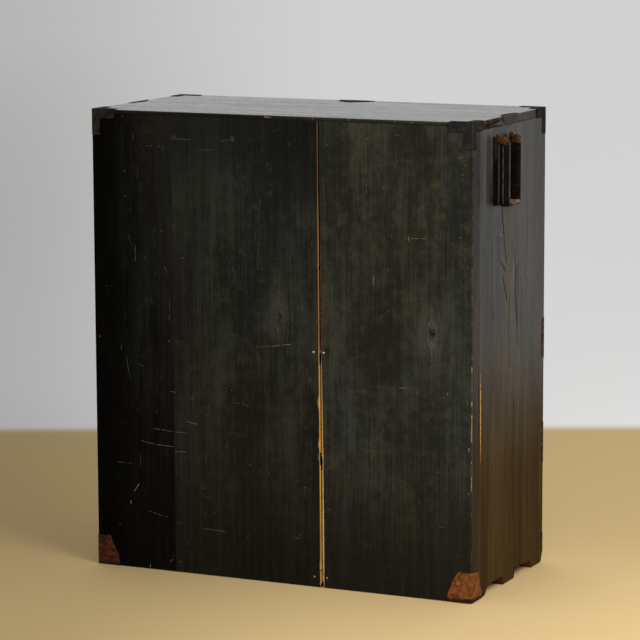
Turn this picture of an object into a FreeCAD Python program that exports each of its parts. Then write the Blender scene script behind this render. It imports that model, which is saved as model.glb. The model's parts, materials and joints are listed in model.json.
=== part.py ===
import FreeCAD, Part
import math
import os
import re
import Sketcher

# Ship chest of drawers: a plank case on three pairs of feet, five full-width drawers,
# forged iron corner mounts and a swinging carrying handle on each side.
# Millimetres. The drawers face -Y, the planked back faces +Y, +Z is up, and the origin
# is on the floor under the middle of the case.

Vector = FreeCAD.Vector
Rotation = FreeCAD.Rotation

DRIVING_SIZES = [
    # case
    ("case_width", 838),
    ("case_depth", 392),
    ("side_thick", 20),
    ("top_thick", 18),
    ("top_lip", 8),
    ("bottom_thick", 17),
    ("foot_height", 19),
    ("front_foot_long", 60),
    ("middle_foot_long", 57),
    ("rear_foot_long", 70),
    ("front_foot_flare", 15),
    ("middle_foot_flare", 7),
    ("rear_foot_flare", 19),
    ("toe_cut_deep", 8),
    ("toe_cut_high", 22),
    # planked back, with the open joint between its middle and left planks; both its edges lean
    ("back_thick", 9),
    ("back_floor_gap", 1),
    ("outer_plank_wide", 181),
    ("middle_plank_wide", 326),
    ("open_joint_top", 3),
    ("open_joint_foot", 6),
    ("open_joint_lean", 4),
    # tiers and rails, counted from the top
    ("tier_high_1", 118),
    ("tier_high_2", 140),
    ("tier_high_3", 165),
    ("tier_high_4", 196),
    ("tier_high_5", 207),
    ("rail_thick_1", 12),
    ("rail_thick_2", 12),
    ("rail_thick_3", 22),
    ("rail_thick_4", 24),
    ("rail_deep", 60),
    ("rear_rail_thick", 14),
    ("rear_rail_high", 9),
    ("floor_strip_deep", 14),
    ("floor_strip_high", 9),
    ("runner_wide", 18),
    ("runner_thick", 12),
    # drawers
    ("drawer_side_gap", 1),
    ("drawer_top_gap", 1.5),
    ("drawer_rear_gap", 2),
    ("runner_play", 0.3),
    ("drawer_front_thick", 20),
    ("drawer_side_thick", 10),
    ("drawer_back_thick", 10),
    ("drawer_bottom_thick", 7),
    ("drawer_side_drop", 3),
    # irons on the case
    ("iron_thick", 1.4),
    ("mount_arm_long", 55),
    ("mount_arm_drop", 53),
    ("cap_high", 63),
    ("cap_back_base", 54),
    ("cap_back_top", 27),
    ("cap_side_base", 56),
    ("cap_side_top", 34),
    ("cap_floor_gap", 1),
    ("end_plate_high", 84),
    ("end_plate_wide", 20),
    ("base_plate_high", 42),
    ("edge_plate_long", 78),
    ("edge_plate_deep", 48),
    ("edge_plate_drop", 16),
    ("side_plate_long", 82),
    ("side_plate_deep", 14),
    ("side_plate_drop", 21),
    ("nail_radius", 2.2),
    ("nail_head_thick", 0.8),
    ("nail_inset", 10),
    # carrying handles
    ("carry_centre_y", 32),
    ("carry_pivot_drop", 45),
    ("carry_inside_wide", 52),
    ("carry_strap_wide", 21),
    ("carry_strap_thick", 6),
    ("carry_long", 132),
    ("carry_wall_gap", 2.4),
    ("carry_corner_cut", 6),
    ("carry_pin_radius", 3.5),
    ("eye_radius", 8),
    ("eye_long", 9),
    ("eye_gap", 0.8),
    ("eye_neck_high", 9),
    ("eye_washer_radius", 12),
    ("pivot_play", 0.1),
    # drawer pulls and drawer irons
    ("plate_thick", 1.2),
    ("pull_spread", 430),
    ("pull_rise", 14),
    ("post_spacing", 92),
    ("post_radius", 5.5),
    ("post_long", 15),
    ("post_reach", 9),
    ("washer_radius", 14),
    ("bail_rod_radius", 3),
    ("bail_leg_gap", 1.5),
    ("bail_drop", 38),
    ("bail_corner_radius", 14),
    ("lock_plate_radius", 39),
    ("keyhole_radius", 3.2),
    ("keyhole_slot_wide", 3),
    ("keyhole_slot_long", 11),
    ("corner_plate_wide", 34),
    ("corner_plate_inset", 1),
]

doc = FreeCAD.newDocument("ShipChest")
sizes = doc.addObject("Spreadsheet::Sheet", "Sizes")
for row, (alias, value) in enumerate(DRIVING_SIZES, start=1):
    sizes.set("A%d" % row, alias)
    sizes.set("B%d" % row, str(value))
    sizes.setAlias("B%d" % row, alias)
doc.recompute()

ALIAS_WORD = re.compile(r"\b(%s)\b" % "|".join(alias for alias, value in DRIVING_SIZES))

TIERS = range(1, 6)
RAILS = range(1, 5)
PLATED_RAILS = RAILS[-2:]
REAR_RAIL_LEVEL = min(PLATED_RAILS)
SIDES = [("left", -1), ("right", 1)]

# Heights in the case, as expressions of the driving sizes: base of each tier, upwards.
TIER_BASE = {TIERS[-1]: "(foot_height + bottom_thick)"}
for tier in reversed(RAILS):
    TIER_BASE[tier] = "(%s + tier_high_%d + rail_thick_%d)" % (TIER_BASE[tier + 1], tier + 1, tier)
CASE_HIGH = "(%s + tier_high_1 + top_thick)" % TIER_BASE[1]
FRONT_Y = "(-case_depth / 2)"
REAR_Y = "(case_depth / 2)"
BACK_INNER_Y = "(case_depth / 2 - back_thick)"
INSIDE_WIDE = "(case_width - 2 * side_thick)"
INSIDE_X = "(case_width / 2 - side_thick)"
CRACK_X = "(case_width / 2 - outer_plank_wide - middle_plank_wide)"
CRACK_FOOT_X = "(%s - open_joint_lean)" % CRACK_X
REAR_FOOT_Y = "(case_depth / 2 - rear_foot_long)"
FRONT_FOOT_Y = "(front_foot_long - case_depth / 2)"
MIDDLE_FOOT_Y = "((%s + %s) / 2)" % (REAR_FOOT_Y, FRONT_FOOT_Y)

Z_TO_FRONT = Rotation(Vector(1, 0, 0), 90)      # local Z turned to -Y
Z_TO_SIDE = Rotation(Vector(0, 1, 0), 90)       # local Z turned to +X
XY_TO_YZ = Rotation(Vector(1, 1, 1), 120)       # sketch plane turned to Y-Z, facing +X
UPRIGHT = Rotation()


def bind(thing, prop, text):
    thing.setExpression(prop, ALIAS_WORD.sub(r"Sizes.\1", text))


def value(text):
    return sizes.evalExpression(text)


def move(thing, place, turn=UPRIGHT):
    thing.Placement = FreeCAD.Placement(Vector(), turn)
    for axis, text in zip("xyz", place):
        bind(thing, "Placement.Base.%s" % axis, text)


def box(label, extent, corner):
    solid = doc.addObject("Part::Box", label)
    for prop, text in zip(("Length", "Width", "Height"), extent):
        bind(solid, prop, text)
    move(solid, corner)
    return solid


def rod(label, radius, length, place, turn):
    solid = doc.addObject("Part::Cylinder", label)
    bind(solid, "Radius", radius)
    bind(solid, "Height", length)
    move(solid, place, turn)
    return solid


def cut(label, base, tool):
    result = doc.addObject("Part::Cut", label)
    result.Base = base
    result.Tool = tool
    return result


def fuse(label, pieces):
    result = doc.addObject("Part::MultiFuse", label)
    result.Shapes = pieces
    return result


def group(label, pieces):
    result = doc.addObject("Part::Compound", label)
    result.Links = pieces
    return result


def draw_outline(sketch, corners):
    # A closed outline: every corner is held by its two distances from the sketch's origin.
    count = len(corners)
    spots = [Vector(value(along), value(up), 0) for along, up in corners]
    for n in range(count):
        sketch.addGeometry(Part.LineSegment(spots[n], spots[(n + 1) % count]))
    for n in range(count):
        sketch.addConstraint(Sketcher.Constraint("Coincident", n, 2, (n + 1) % count, 1))
    for n, (along, up) in enumerate(corners):
        hold(sketch, "corner_x_%d" % n, along, "DistanceX", -1, 1, n, 1)
        hold(sketch, "corner_y_%d" % n, up, "DistanceY", -1, 1, n, 1)


def hold(sketch, name, text, kind, *where):
    # A named dimension of a sketch, at its size from the start and bound to the sheet.
    number = sketch.addConstraint(Sketcher.Constraint(kind, *where, value(text)))
    sketch.renameConstraint(number, name)
    bind(sketch, "Constraints.%s" % name, text)


def origin_plane(body, role):
    return [plane for plane in body.Origin.OriginFeatures if plane.Role == role][0]


def body_sketch(body, name, role):
    sketch = body.newObject("Sketcher::SketchObject", name)
    sketch.AttachmentSupport = [(origin_plane(body, role), "")]
    sketch.MapMode = "FlatFace"
    return sketch


def padded_body(label, role, corners, thick, place):
    # A board cut to an outline: the sketch lies on an origin plane and is padded by thick.
    body = doc.addObject("PartDesign::Body", label)
    outline = body_sketch(body, label + "_outline", role)
    draw_outline(outline, corners)
    pad = body.newObject("PartDesign::Pad", label + "_pad")
    pad.Profile = outline
    bind(pad, "Length", thick)
    move(body, place)
    return body


def plate(label, corners, thick, place, turn):
    # A flat iron cut to an outline, grown from its sketch along the sketch's own normal.
    outline = doc.addObject("Sketcher::SketchObject", label + "_outline")
    draw_outline(outline, corners)
    move(outline, place, turn)
    solid = doc.addObject("Part::Extrusion", label)
    solid.Base = outline
    solid.DirMode = "Normal"
    solid.Solid = True
    bind(solid, "LengthFwd", thick)
    return solid


def signed(sign, text):
    return "(%d * %s)" % (sign, text)


def case_block(label):
    return box(label, ("case_width", "case_depth", CASE_HIGH), ("-case_width / 2", FRONT_Y, "0"))


# Boards of the case

def make_top_board():
    blank = box("top_blank", ("case_width", "case_depth", "top_thick"),
                ("-case_width / 2", FRONT_Y, CASE_HIGH + " - top_thick"))
    rebate = box("top_rebate", ("case_width", "back_thick", "top_thick - top_lip"),
                 ("-case_width / 2", BACK_INNER_Y, CASE_HIGH + " - top_thick"))
    cut("top_board", blank, rebate)


def make_bottom_board():
    # The board lies on the feet's shoulders, with a strip under its rear edge for the back's nails.
    panel = box("floor_panel", (INSIDE_WIDE, "case_depth - back_thick", "bottom_thick"),
                ("-" + INSIDE_X, FRONT_Y, "foot_height"))
    strip = box("floor_strip", (INSIDE_WIDE, "floor_strip_deep", "floor_strip_high"),
                ("-" + INSIDE_X, BACK_INNER_Y + " - floor_strip_deep", "foot_height - floor_strip_high"))
    group("bottom_board", [panel, strip])


def make_side_boards():
    # Each foot widens upwards by its flare, and the front toe is cut back at the floor.
    middle_front = MIDDLE_FOOT_Y + " - middle_foot_long / 2"
    middle_rear = MIDDLE_FOOT_Y + " + middle_foot_long / 2"
    outline = [
        (FRONT_Y + " + toe_cut_deep", "0"),
        (FRONT_FOOT_Y, "0"),
        (FRONT_FOOT_Y + " + front_foot_flare", "foot_height"),
        (middle_front + " - middle_foot_flare", "foot_height"),
        (middle_front, "0"),
        (middle_rear, "0"),
        (middle_rear + " + middle_foot_flare", "foot_height"),
        (REAR_FOOT_Y + " - rear_foot_flare", "foot_height"),
        (REAR_FOOT_Y, "0"),
        (BACK_INNER_Y, "0"),
        (BACK_INNER_Y, CASE_HIGH + " - top_thick"),
        (FRONT_Y, CASE_HIGH + " - top_thick"),
        (FRONT_Y, "toe_cut_high"),
    ]
    padded_body("side_board_left", "YZ_Plane", outline, "side_thick", ("-case_width / 2", "0", "0"))
    padded_body("side_board_right", "YZ_Plane", outline, "side_thick", (INSIDE_X, "0", "0"))


def make_back_planks():
    foot = "back_floor_gap"
    head = CASE_HIGH + " - top_lip"
    seam = "case_width / 2 - outer_plank_wide"
    planks = {
        "back_plank_right": [(seam, foot), ("case_width / 2", foot), ("case_width / 2", head), (seam, head)],
        "back_plank_middle": [(CRACK_FOOT_X, foot), (seam, foot), (seam, head), (CRACK_X, head)],
        "back_plank_left": [("-case_width / 2", foot), (CRACK_FOOT_X + " - open_joint_foot", foot),
                            (CRACK_X + " - open_joint_top", head), ("-case_width / 2", head)],
    }
    for label, corners in planks.items():
        padded_body(label, "XZ_Plane", corners, "back_thick", ("0", REAR_Y, "0"))


def make_rails():
    for rail in RAILS:
        top = TIER_BASE[rail]
        box("front_rail_%d" % rail, (INSIDE_WIDE, "rail_deep", "rail_thick_%d" % rail),
            ("-" + INSIDE_X, FRONT_Y, "%s - rail_thick_%d" % (top, rail)))
    box("rear_rail", (INSIDE_WIDE, "rear_rail_thick", "rear_rail_high"),
        ("-" + INSIDE_X, BACK_INNER_Y + " - rear_rail_thick",
         TIER_BASE[REAR_RAIL_LEVEL] + " - rear_rail_high"))


def make_drawer_runners():
    runners = []
    for rail in RAILS:
        for side, sign in SIDES:
            edge = "-" + INSIDE_X if sign < 0 else INSIDE_X + " - runner_wide"
            runners.append(box(
                "runner_%d_%s" % (rail, side),
                ("runner_wide", "case_depth - back_thick - rear_rail_thick - rail_deep", "runner_thick"),
                (edge, FRONT_Y + " + rail_deep", TIER_BASE[rail] + " - runner_thick")))
    group("drawer_runners", runners)


def make_floor_battens():
    front = box("front_batten", (INSIDE_WIDE, "front_foot_long", "foot_height"),
                ("-" + INSIDE_X, FRONT_Y, "0"))
    middle = box("middle_batten", (INSIDE_WIDE, "middle_foot_long", "foot_height"),
                 ("-" + INSIDE_X, MIDDLE_FOOT_Y + " - middle_foot_long / 2", "0"))
    group("floor_battens", [front, middle])


# Irons wrapped round the case's corners and edges

def corner_box(label, sign_x, sign_y, reach_x, reach_y, low, high):
    # A block over a vertical corner of the case, one iron thickness proud of both faces.
    extent = (reach_x + " + iron_thick", reach_y + " + iron_thick", "%s - %s" % (high, low))
    x = "-case_width / 2 - iron_thick" if sign_x < 0 else "case_width / 2 - " + reach_x
    y = "-case_depth / 2 - iron_thick" if sign_y < 0 else "case_depth / 2 - " + reach_y
    return box(label, extent, (x, y, low))


def make_top_corner_mounts():
    crown = "(%s + iron_thick)" % CASE_HIGH
    arms = []
    for sign_x in (-1, 1):
        for sign_y in (-1, 1):
            tag = "%d%d" % (sign_x > 0, sign_y > 0)
            arms.append(corner_box("mount_along_" + tag, sign_x, sign_y, "mount_arm_long", "side_thick",
                                   "(%s - top_thick)" % CASE_HIGH, crown))
            arms.append(corner_box("mount_across_" + tag, sign_x, sign_y, "side_thick", "mount_arm_long",
                                   "(%s - top_thick)" % CASE_HIGH, crown))
            arms.append(corner_box("mount_down_" + tag, sign_x, sign_y, "side_thick", "side_thick",
                                   "(%s - mount_arm_drop)" % CASE_HIGH, crown))
    cut("top_corner_mounts", fuse("mount_blocks", arms), case_block("mount_core"))


def make_rail_end_plates():
    # Over the front corners at the two lowest rails, and shorter ones over the base board's ends.
    spans = {"base": ("toe_cut_high", "(toe_cut_high + base_plate_high)")}
    for rail in PLATED_RAILS:
        middle = "%s - rail_thick_%d / 2" % (TIER_BASE[rail], rail)
        spans[str(rail)] = ("(%s - end_plate_high / 2)" % middle, "(%s + end_plate_high / 2)" % middle)
    blocks = []
    for level, (low, high) in spans.items():
        for side, sign_x in SIDES:
            blocks.append(corner_box("end_plate_%s_%s" % (level, side), sign_x, -1,
                                     "side_thick", "end_plate_wide", low, high))
    cut("rail_end_plates", fuse("end_plate_blocks", blocks), case_block("end_plate_core"))


def make_top_edge_plates():
    front = box("edge_block_front",
                ("edge_plate_long", "edge_plate_deep + iron_thick", "edge_plate_drop + iron_thick"),
                ("-edge_plate_long / 2", FRONT_Y + " - iron_thick", CASE_HIGH + " - edge_plate_drop"))
    blocks = [front]
    for side, sign in SIDES:
        x = "-case_width / 2 - iron_thick" if sign < 0 else "case_width / 2 - side_plate_deep"
        blocks.append(box("edge_block_" + side,
                          ("side_plate_deep + iron_thick", "side_plate_long", "side_plate_drop + iron_thick"),
                          (x, "-side_plate_long / 2", CASE_HIGH + " - side_plate_drop")))
    cut("top_edge_plates", fuse("edge_blocks", blocks), case_block("edge_core"))


def make_bottom_corner_caps():
    # Tapered caps over the two rear corners.
    low = "cap_floor_gap"
    corner = "(case_width / 2 + iron_thick)"
    edge = REAR_Y + " + iron_thick"
    caps = []
    for side, sign in SIDES:
        face = plate("cap_face_" + side,
                     [(signed(sign, corner), low),
                      (signed(sign, "(case_width / 2 - cap_back_base)"), low),
                      (signed(sign, "(case_width / 2 - cap_back_top)"), "cap_high"),
                      (signed(sign, corner), "cap_high")],
                     "iron_thick", ("0", edge, "0"), Z_TO_FRONT)
        side_x = "-case_width / 2 - iron_thick" if sign < 0 else "case_width / 2"
        wing = plate("cap_side_" + side,
                     [(edge, low), (REAR_Y + " - cap_side_base", low),
                      (REAR_Y + " - cap_side_top", "cap_high"), (edge, "cap_high")],
                     "iron_thick", (side_x, "0", "0"), XY_TO_YZ)
        caps.append(fuse("cap_" + side, [wing, face]))
    group("bottom_corner_caps", caps)


def make_back_nails():
    # Beside the open joint the left plank's nails follow its leaning edge.
    seam = "case_width / 2 - outer_plank_wide"
    columns = [CRACK_X + " + nail_inset", seam + " - nail_inset", seam + " + nail_inset"]
    outer = ["-case_width / 2 + nail_inset", "case_width / 2 - nail_inset"]
    rows = {
        "rail": (TIER_BASE[REAR_RAIL_LEVEL] + " - rear_rail_high / 2",
                 columns + outer + [CRACK_X + " - open_joint_top - 0.9 * nail_inset"]),
        "foot": ("foot_height + nail_radius",
                 columns + [CRACK_FOOT_X + " - open_joint_foot - 0.8 * nail_inset"]),
    }
    nails = []
    for level, (height, places) in rows.items():
        for number, x in enumerate(places):
            nails.append(rod("nail_%s_%d" % (level, number), "nail_radius", "nail_head_thick",
                             (x, REAR_Y + " + nail_head_thick", height), Z_TO_FRONT))
    group("back_nails", nails)


# Carrying handles: a square iron loop, its legs rounded about the pins that turn in two eyes

CARRY_PIVOT_Z = "(%s - carry_pivot_drop)" % CASE_HIGH
CARRY_OUTER_HALF = "(carry_inside_wide / 2 + carry_strap_thick)"
CARRY_PIVOT_OUT = "(carry_wall_gap + carry_strap_wide / 2)"


def make_carry_handle(side, sign):
    near = signed(-1, "(carry_inside_wide / 2)")
    far = "(carry_inside_wide / 2)"
    floor = signed(-1, "carry_long")
    sill = "(carry_strap_thick - carry_long)"
    bevel = "carry_corner_cut"
    loop = [
        ("-" + CARRY_OUTER_HALF, "0"),
        ("-" + CARRY_OUTER_HALF, "%s + %s" % (floor, bevel)),
        ("-%s + %s" % (CARRY_OUTER_HALF, bevel), floor),
        ("%s - %s" % (CARRY_OUTER_HALF, bevel), floor),
        (CARRY_OUTER_HALF, "%s + %s" % (floor, bevel)),
        (CARRY_OUTER_HALF, "0"),
        (far, "0"),
        (far, sill),
        (near, sill),
        (near, "0"),
    ]
    wall_x = "-case_width / 2 - carry_wall_gap - carry_strap_wide" if sign < 0 \
        else "case_width / 2 + carry_wall_gap"
    label = "carry_handle_" + side
    strap = plate(label + "_strap", loop, "carry_strap_wide",
                  (wall_x, "carry_centre_y", CARRY_PIVOT_Z), XY_TO_YZ)
    pivot_x = signed(sign, "(case_width / 2 + %s)" % CARRY_PIVOT_OUT)
    pin_long = "eye_gap + eye_long"
    rounds = [
        rod(label + "_head_front", "carry_strap_wide / 2", "carry_strap_thick",
            (pivot_x, "carry_centre_y - carry_inside_wide / 2", CARRY_PIVOT_Z), Z_TO_FRONT),
        rod(label + "_head_rear", "carry_strap_wide / 2", "carry_strap_thick",
            (pivot_x, "carry_centre_y + " + CARRY_OUTER_HALF, CARRY_PIVOT_Z), Z_TO_FRONT),
        rod(label + "_pin_front", "carry_pin_radius", pin_long,
            (pivot_x, "carry_centre_y - " + CARRY_OUTER_HALF, CARRY_PIVOT_Z), Z_TO_FRONT),
        rod(label + "_pin_rear", "carry_pin_radius", pin_long,
            (pivot_x, "carry_centre_y + %s + %s" % (CARRY_OUTER_HALF, pin_long), CARRY_PIVOT_Z), Z_TO_FRONT),
    ]
    fuse(label, [strap] + rounds)


def make_handle_eyes(side, sign):
    pivot_x = signed(sign, "(case_width / 2 + %s)" % CARRY_PIVOT_OUT)
    neck_x = "-case_width / 2 - " + CARRY_PIVOT_OUT if sign < 0 else "case_width / 2"
    washer_x = "-case_width / 2 - iron_thick" if sign < 0 else "case_width / 2"
    eyes = []
    for end, toward in (("front", -1), ("rear", 1)):
        tag = "%s_%s" % (side, end)
        inner = "(carry_centre_y + %s)" % signed(toward, "(%s + eye_gap)" % CARRY_OUTER_HALF)
        low_y = inner + " - eye_long" if toward < 0 else inner
        high_y = inner if toward < 0 else inner + " + eye_long"
        ring = rod("eye_ring_" + tag, "eye_radius", "eye_long", (pivot_x, high_y, CARRY_PIVOT_Z), Z_TO_FRONT)
        neck = box("eye_neck_" + tag, (CARRY_PIVOT_OUT, "eye_long", "eye_neck_high"),
                   (neck_x, low_y, CARRY_PIVOT_Z + " - eye_neck_high / 2"))
        washer = rod("eye_washer_" + tag, "eye_washer_radius", "iron_thick",
                     (washer_x, low_y + " + eye_long / 2", CARRY_PIVOT_Z), Z_TO_SIDE)
        bore = rod("eye_bore_" + tag, "carry_pin_radius + pivot_play", "3 * eye_long",
                   (pivot_x, high_y + " + eye_long", CARRY_PIVOT_Z), Z_TO_FRONT)
        eyes.append(cut("eye_" + tag, fuse("eye_blank_" + tag, [ring, neck, washer]), bore))
    group("handle_eyes_" + side, eyes)


# Drawers

def drawer_base(tier):
    return "(%s + runner_play)" % TIER_BASE[tier]


def front_high(tier):
    return "(tier_high_%d - runner_play - drawer_top_gap)" % tier


def pull_height(tier):
    return "(%s + %s / 2 + pull_rise)" % (drawer_base(tier), front_high(tier))


DRAWER_WIDE = "(%s - 2 * drawer_side_gap)" % INSIDE_WIDE
DRAWER_X = "(%s - drawer_side_gap)" % INSIDE_X
BOX_START_Y = "(drawer_front_thick - case_depth / 2)"
BOX_LONG = "(case_depth - back_thick - drawer_rear_gap - drawer_front_thick)"
POST_HOLE_Y = "(-case_depth / 2 - plate_thick - post_reach)"


def make_drawer_box(tier):
    name = "drawer_%d" % tier
    base = drawer_base(tier)
    wall_base = base + " + drawer_bottom_thick"
    wall_high = front_high(tier) + " - drawer_bottom_thick - drawer_side_drop"
    box(name + "_front", (DRAWER_WIDE, "drawer_front_thick", front_high(tier)),
        ("-" + DRAWER_X, FRONT_Y, base))
    box(name + "_bottom", (DRAWER_WIDE, BOX_LONG, "drawer_bottom_thick"),
        ("-" + DRAWER_X, BOX_START_Y, base))
    walls = []
    for side, sign in SIDES:
        x = "-" + DRAWER_X if sign < 0 else DRAWER_X + " - drawer_side_thick"
        walls.append(box("%s_side_%s" % (name, side), ("drawer_side_thick", BOX_LONG, wall_high),
                         (x, BOX_START_Y, wall_base)))
    group(name + "_sides", walls)
    box(name + "_back", (DRAWER_WIDE + " - 2 * drawer_side_thick", "drawer_back_thick", wall_high),
        ("-%s + drawer_side_thick" % DRAWER_X, BOX_START_Y + " + %s - drawer_back_thick" % BOX_LONG,
         wall_base))


def make_pull_post(tag, x, z):
    washer = rod("washer_" + tag, "washer_radius", "plate_thick", (x, FRONT_Y, z), Z_TO_FRONT)
    stem = rod("stem_" + tag, "post_radius", "plate_thick + post_long", (x, FRONT_Y, z), Z_TO_FRONT)
    bore = rod("post_bore_" + tag, "bail_rod_radius + pivot_play", "4 * post_radius",
               (x + " - 2 * post_radius", POST_HOLE_Y, z), Z_TO_SIDE)
    return cut("post_" + tag, fuse("post_blank_" + tag, [washer, stem]), bore)


def make_lock_plate(tier):
    middle = "(%s + %s / 2)" % (drawer_base(tier), front_high(tier))
    disc = rod("lock_disc_%d" % tier, "lock_plate_radius", "plate_thick", ("0", FRONT_Y, middle), Z_TO_FRONT)
    hole = rod("keyhole_%d" % tier, "keyhole_radius", "3 * plate_thick",
               ("0", FRONT_Y + " + plate_thick", middle), Z_TO_FRONT)
    slot = box("keyslot_%d" % tier, ("keyhole_slot_wide", "3 * plate_thick", "keyhole_slot_long"),
               ("-keyhole_slot_wide / 2", FRONT_Y + " - 2 * plate_thick", middle + " - keyhole_slot_long"))
    return cut("lock_plate_%d" % tier, disc, fuse("keyway_%d" % tier, [hole, slot]))


def make_drawer_irons(tier):
    irons = [make_lock_plate(tier)]
    for side, sign in SIDES:
        for end, toward in (("outer", 1), ("inner", -1)):
            x = signed(sign, "(pull_spread / 2 + %d * post_spacing / 2)" % toward)
            irons.append(make_pull_post("%d_%s_%s" % (tier, side, end), x, pull_height(tier)))
        edge = DRAWER_X + " - corner_plate_inset"
        x = "-(%s)" % edge if sign < 0 else edge + " - corner_plate_wide"
        low = drawer_base(tier) + " + corner_plate_inset"
        high = "%s + %s - corner_plate_inset - corner_plate_wide" % (drawer_base(tier), front_high(tier))
        for end, z in (("low", low), ("high", high)):
            irons.append(box("corner_plate_%d_%s_%s" % (tier, side, end),
                             ("corner_plate_wide", "plate_thick", "corner_plate_wide"),
                             (x, FRONT_Y + " - plate_thick", z)))
    group("drawer_%d_irons" % tier, irons)


BAIL_PIN_TIP = "(post_spacing / 2 - post_radius)"
BAIL_LEG = "(post_spacing / 2 + post_radius + bail_leg_gap + bail_rod_radius)"
BAIL_KNEE = "(bail_leg_gap + bail_rod_radius)"


def draw_bail_path(path):
    # Pin, leg, grip, leg and pin of a bail, joined by tangent arcs, with the pivot at the origin.
    tip = value(BAIL_PIN_TIP)
    leg = value(BAIL_LEG)
    knee = value(BAIL_KNEE)
    drop = value("bail_drop")
    bend = value("bail_corner_radius")
    knots = [Vector(-tip, 0, 0), Vector(knee - leg, 0, 0),
             Vector(-leg, -knee, 0), Vector(-leg, bend - drop, 0),
             Vector(bend - leg, -drop, 0), Vector(leg - bend, -drop, 0),
             Vector(leg, bend - drop, 0), Vector(leg, -knee, 0),
             Vector(leg - knee, 0, 0), Vector(tip, 0, 0)]
    lines = range(len(knots) // 2)
    for n in lines:
        path.addGeometry(Part.LineSegment(knots[2 * n], knots[2 * n + 1]))
    arcs = [
        (Vector(knee - leg, -knee, 0), knee, BAIL_KNEE, 1),
        (Vector(bend - leg, bend - drop, 0), bend, "bail_corner_radius", 2),
        (Vector(leg - bend, bend - drop, 0), bend, "bail_corner_radius", 3),
        (Vector(leg - knee, -knee, 0), knee, BAIL_KNEE, 4),
    ]
    for n, (centre, radius, text, quarter) in enumerate(arcs):
        start = quarter * math.pi / 2
        circle = Part.Circle(centre, Vector(0, 0, 1), radius)
        arc = path.addGeometry(Part.ArcOfCircle(circle, start, start + math.pi / 2))
        path.addConstraint(Sketcher.Constraint("Tangent", n, 2, arc, 1))
        path.addConstraint(Sketcher.Constraint("Tangent", arc, 2, n + 1, 1))
        hold(path, "corner_radius_%d" % n, text, "Radius", arc)
    for n in lines:
        path.addConstraint(Sketcher.Constraint("Vertical" if n % 2 else "Horizontal", n))
    hold(path, "pin_start_x", "-" + BAIL_PIN_TIP, "DistanceX", -1, 1, 0, 1)
    hold(path, "pin_start_y", "0", "DistanceY", -1, 1, 0, 1)
    hold(path, "pin_end_x", BAIL_PIN_TIP, "DistanceX", -1, 1, 4, 2)
    hold(path, "pin_end_y", "0", "DistanceY", -1, 1, 4, 2)
    hold(path, "leg_left_x", "-" + BAIL_LEG, "DistanceX", -1, 1, 1, 1)
    hold(path, "leg_right_x", BAIL_LEG, "DistanceX", -1, 1, 3, 1)
    hold(path, "grip_y", "-bail_drop", "DistanceY", -1, 1, 2, 1)


def make_bail(tier, side, sign):
    label = "drawer_%d_bail_%s" % (tier, side)
    body = doc.addObject("PartDesign::Body", label)
    path = body_sketch(body, label + "_path", "XZ_Plane")
    draw_bail_path(path)
    section = body_sketch(body, label + "_section", "YZ_Plane")
    section.addGeometry(Part.Circle(Vector(0, 0, 0), Vector(0, 0, 1), value("bail_rod_radius")))
    section.addConstraint(Sketcher.Constraint("Coincident", 0, 3, -1, 1))
    hold(section, "rod", "bail_rod_radius", "Radius", 0)
    bind(section, "AttachmentOffset.Base.z", "-" + BAIL_PIN_TIP)
    pipe = body.newObject("PartDesign::AdditivePipe", label + "_rod")
    pipe.Profile = section
    pipe.Spine = (path, [])
    move(body, (signed(sign, "(pull_spread / 2)"), POST_HOLE_Y, pull_height(tier)))


def check_model():
    for thing in doc.Objects:
        if "Invalid" in thing.State or "Error" in thing.State:
            raise RuntimeError("%s did not build: %s" % (thing.Label, thing.State))
    for label in NODES:
        shape = doc.getObjectsByLabel(label)[0].Shape
        if shape.isNull() or not shape.isValid() or not shape.Solids:
            raise RuntimeError(label + " has no valid shape")


def export_nodes():
    os.makedirs("parts", exist_ok=True)
    for label in NODES:
        doc.getObjectsByLabel(label)[0].Shape.exportStep("parts/%s.step" % label)


NODES = [
    "top_board", "bottom_board", "side_board_left", "side_board_right",
    "back_plank_left", "back_plank_middle", "back_plank_right",
    "rear_rail", "drawer_runners", "floor_battens",
    "top_corner_mounts", "bottom_corner_caps", "rail_end_plates", "top_edge_plates", "back_nails",
]
NODES += ["front_rail_%d" % rail for rail in RAILS]
for side, sign in SIDES:
    NODES += ["carry_handle_" + side, "handle_eyes_" + side]
for tier in TIERS:
    NODES += ["drawer_%d_%s" % (tier, piece) for piece in ("front", "bottom", "sides", "back", "irons")]
    NODES += ["drawer_%d_bail_%s" % (tier, side) for side, sign in SIDES]

make_top_board()
make_bottom_board()
make_side_boards()
make_back_planks()
make_rails()
make_drawer_runners()
make_floor_battens()
make_top_corner_mounts()
make_rail_end_plates()
make_top_edge_plates()
make_bottom_corner_caps()
make_back_nails()
for side, sign in SIDES:
    make_carry_handle(side, sign)
    make_handle_eyes(side, sign)
for tier in TIERS:
    make_drawer_box(tier)
    make_drawer_irons(tier)
    for side, sign in SIDES:
        make_bail(tier, side, sign)

doc.recompute()
check_model()
export_nodes()
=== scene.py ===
import json
import math

import bmesh
import bpy
from mathutils import Matrix, Vector, noise


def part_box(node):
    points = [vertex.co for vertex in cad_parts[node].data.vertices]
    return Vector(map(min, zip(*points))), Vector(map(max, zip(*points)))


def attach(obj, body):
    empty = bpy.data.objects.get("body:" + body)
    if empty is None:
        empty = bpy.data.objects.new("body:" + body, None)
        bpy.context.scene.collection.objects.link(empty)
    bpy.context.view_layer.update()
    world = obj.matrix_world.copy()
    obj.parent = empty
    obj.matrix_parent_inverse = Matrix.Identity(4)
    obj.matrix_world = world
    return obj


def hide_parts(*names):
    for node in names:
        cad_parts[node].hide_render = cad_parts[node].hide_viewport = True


# Looks of a ship chest: worn dark stained boards, an open joint in the planked back, lobed
# iron mounts, rusted caps, two carrying handles and five drawers with bails and lock plates.
# Metres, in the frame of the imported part: drawers face -Y, the planked back faces +Y.

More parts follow.
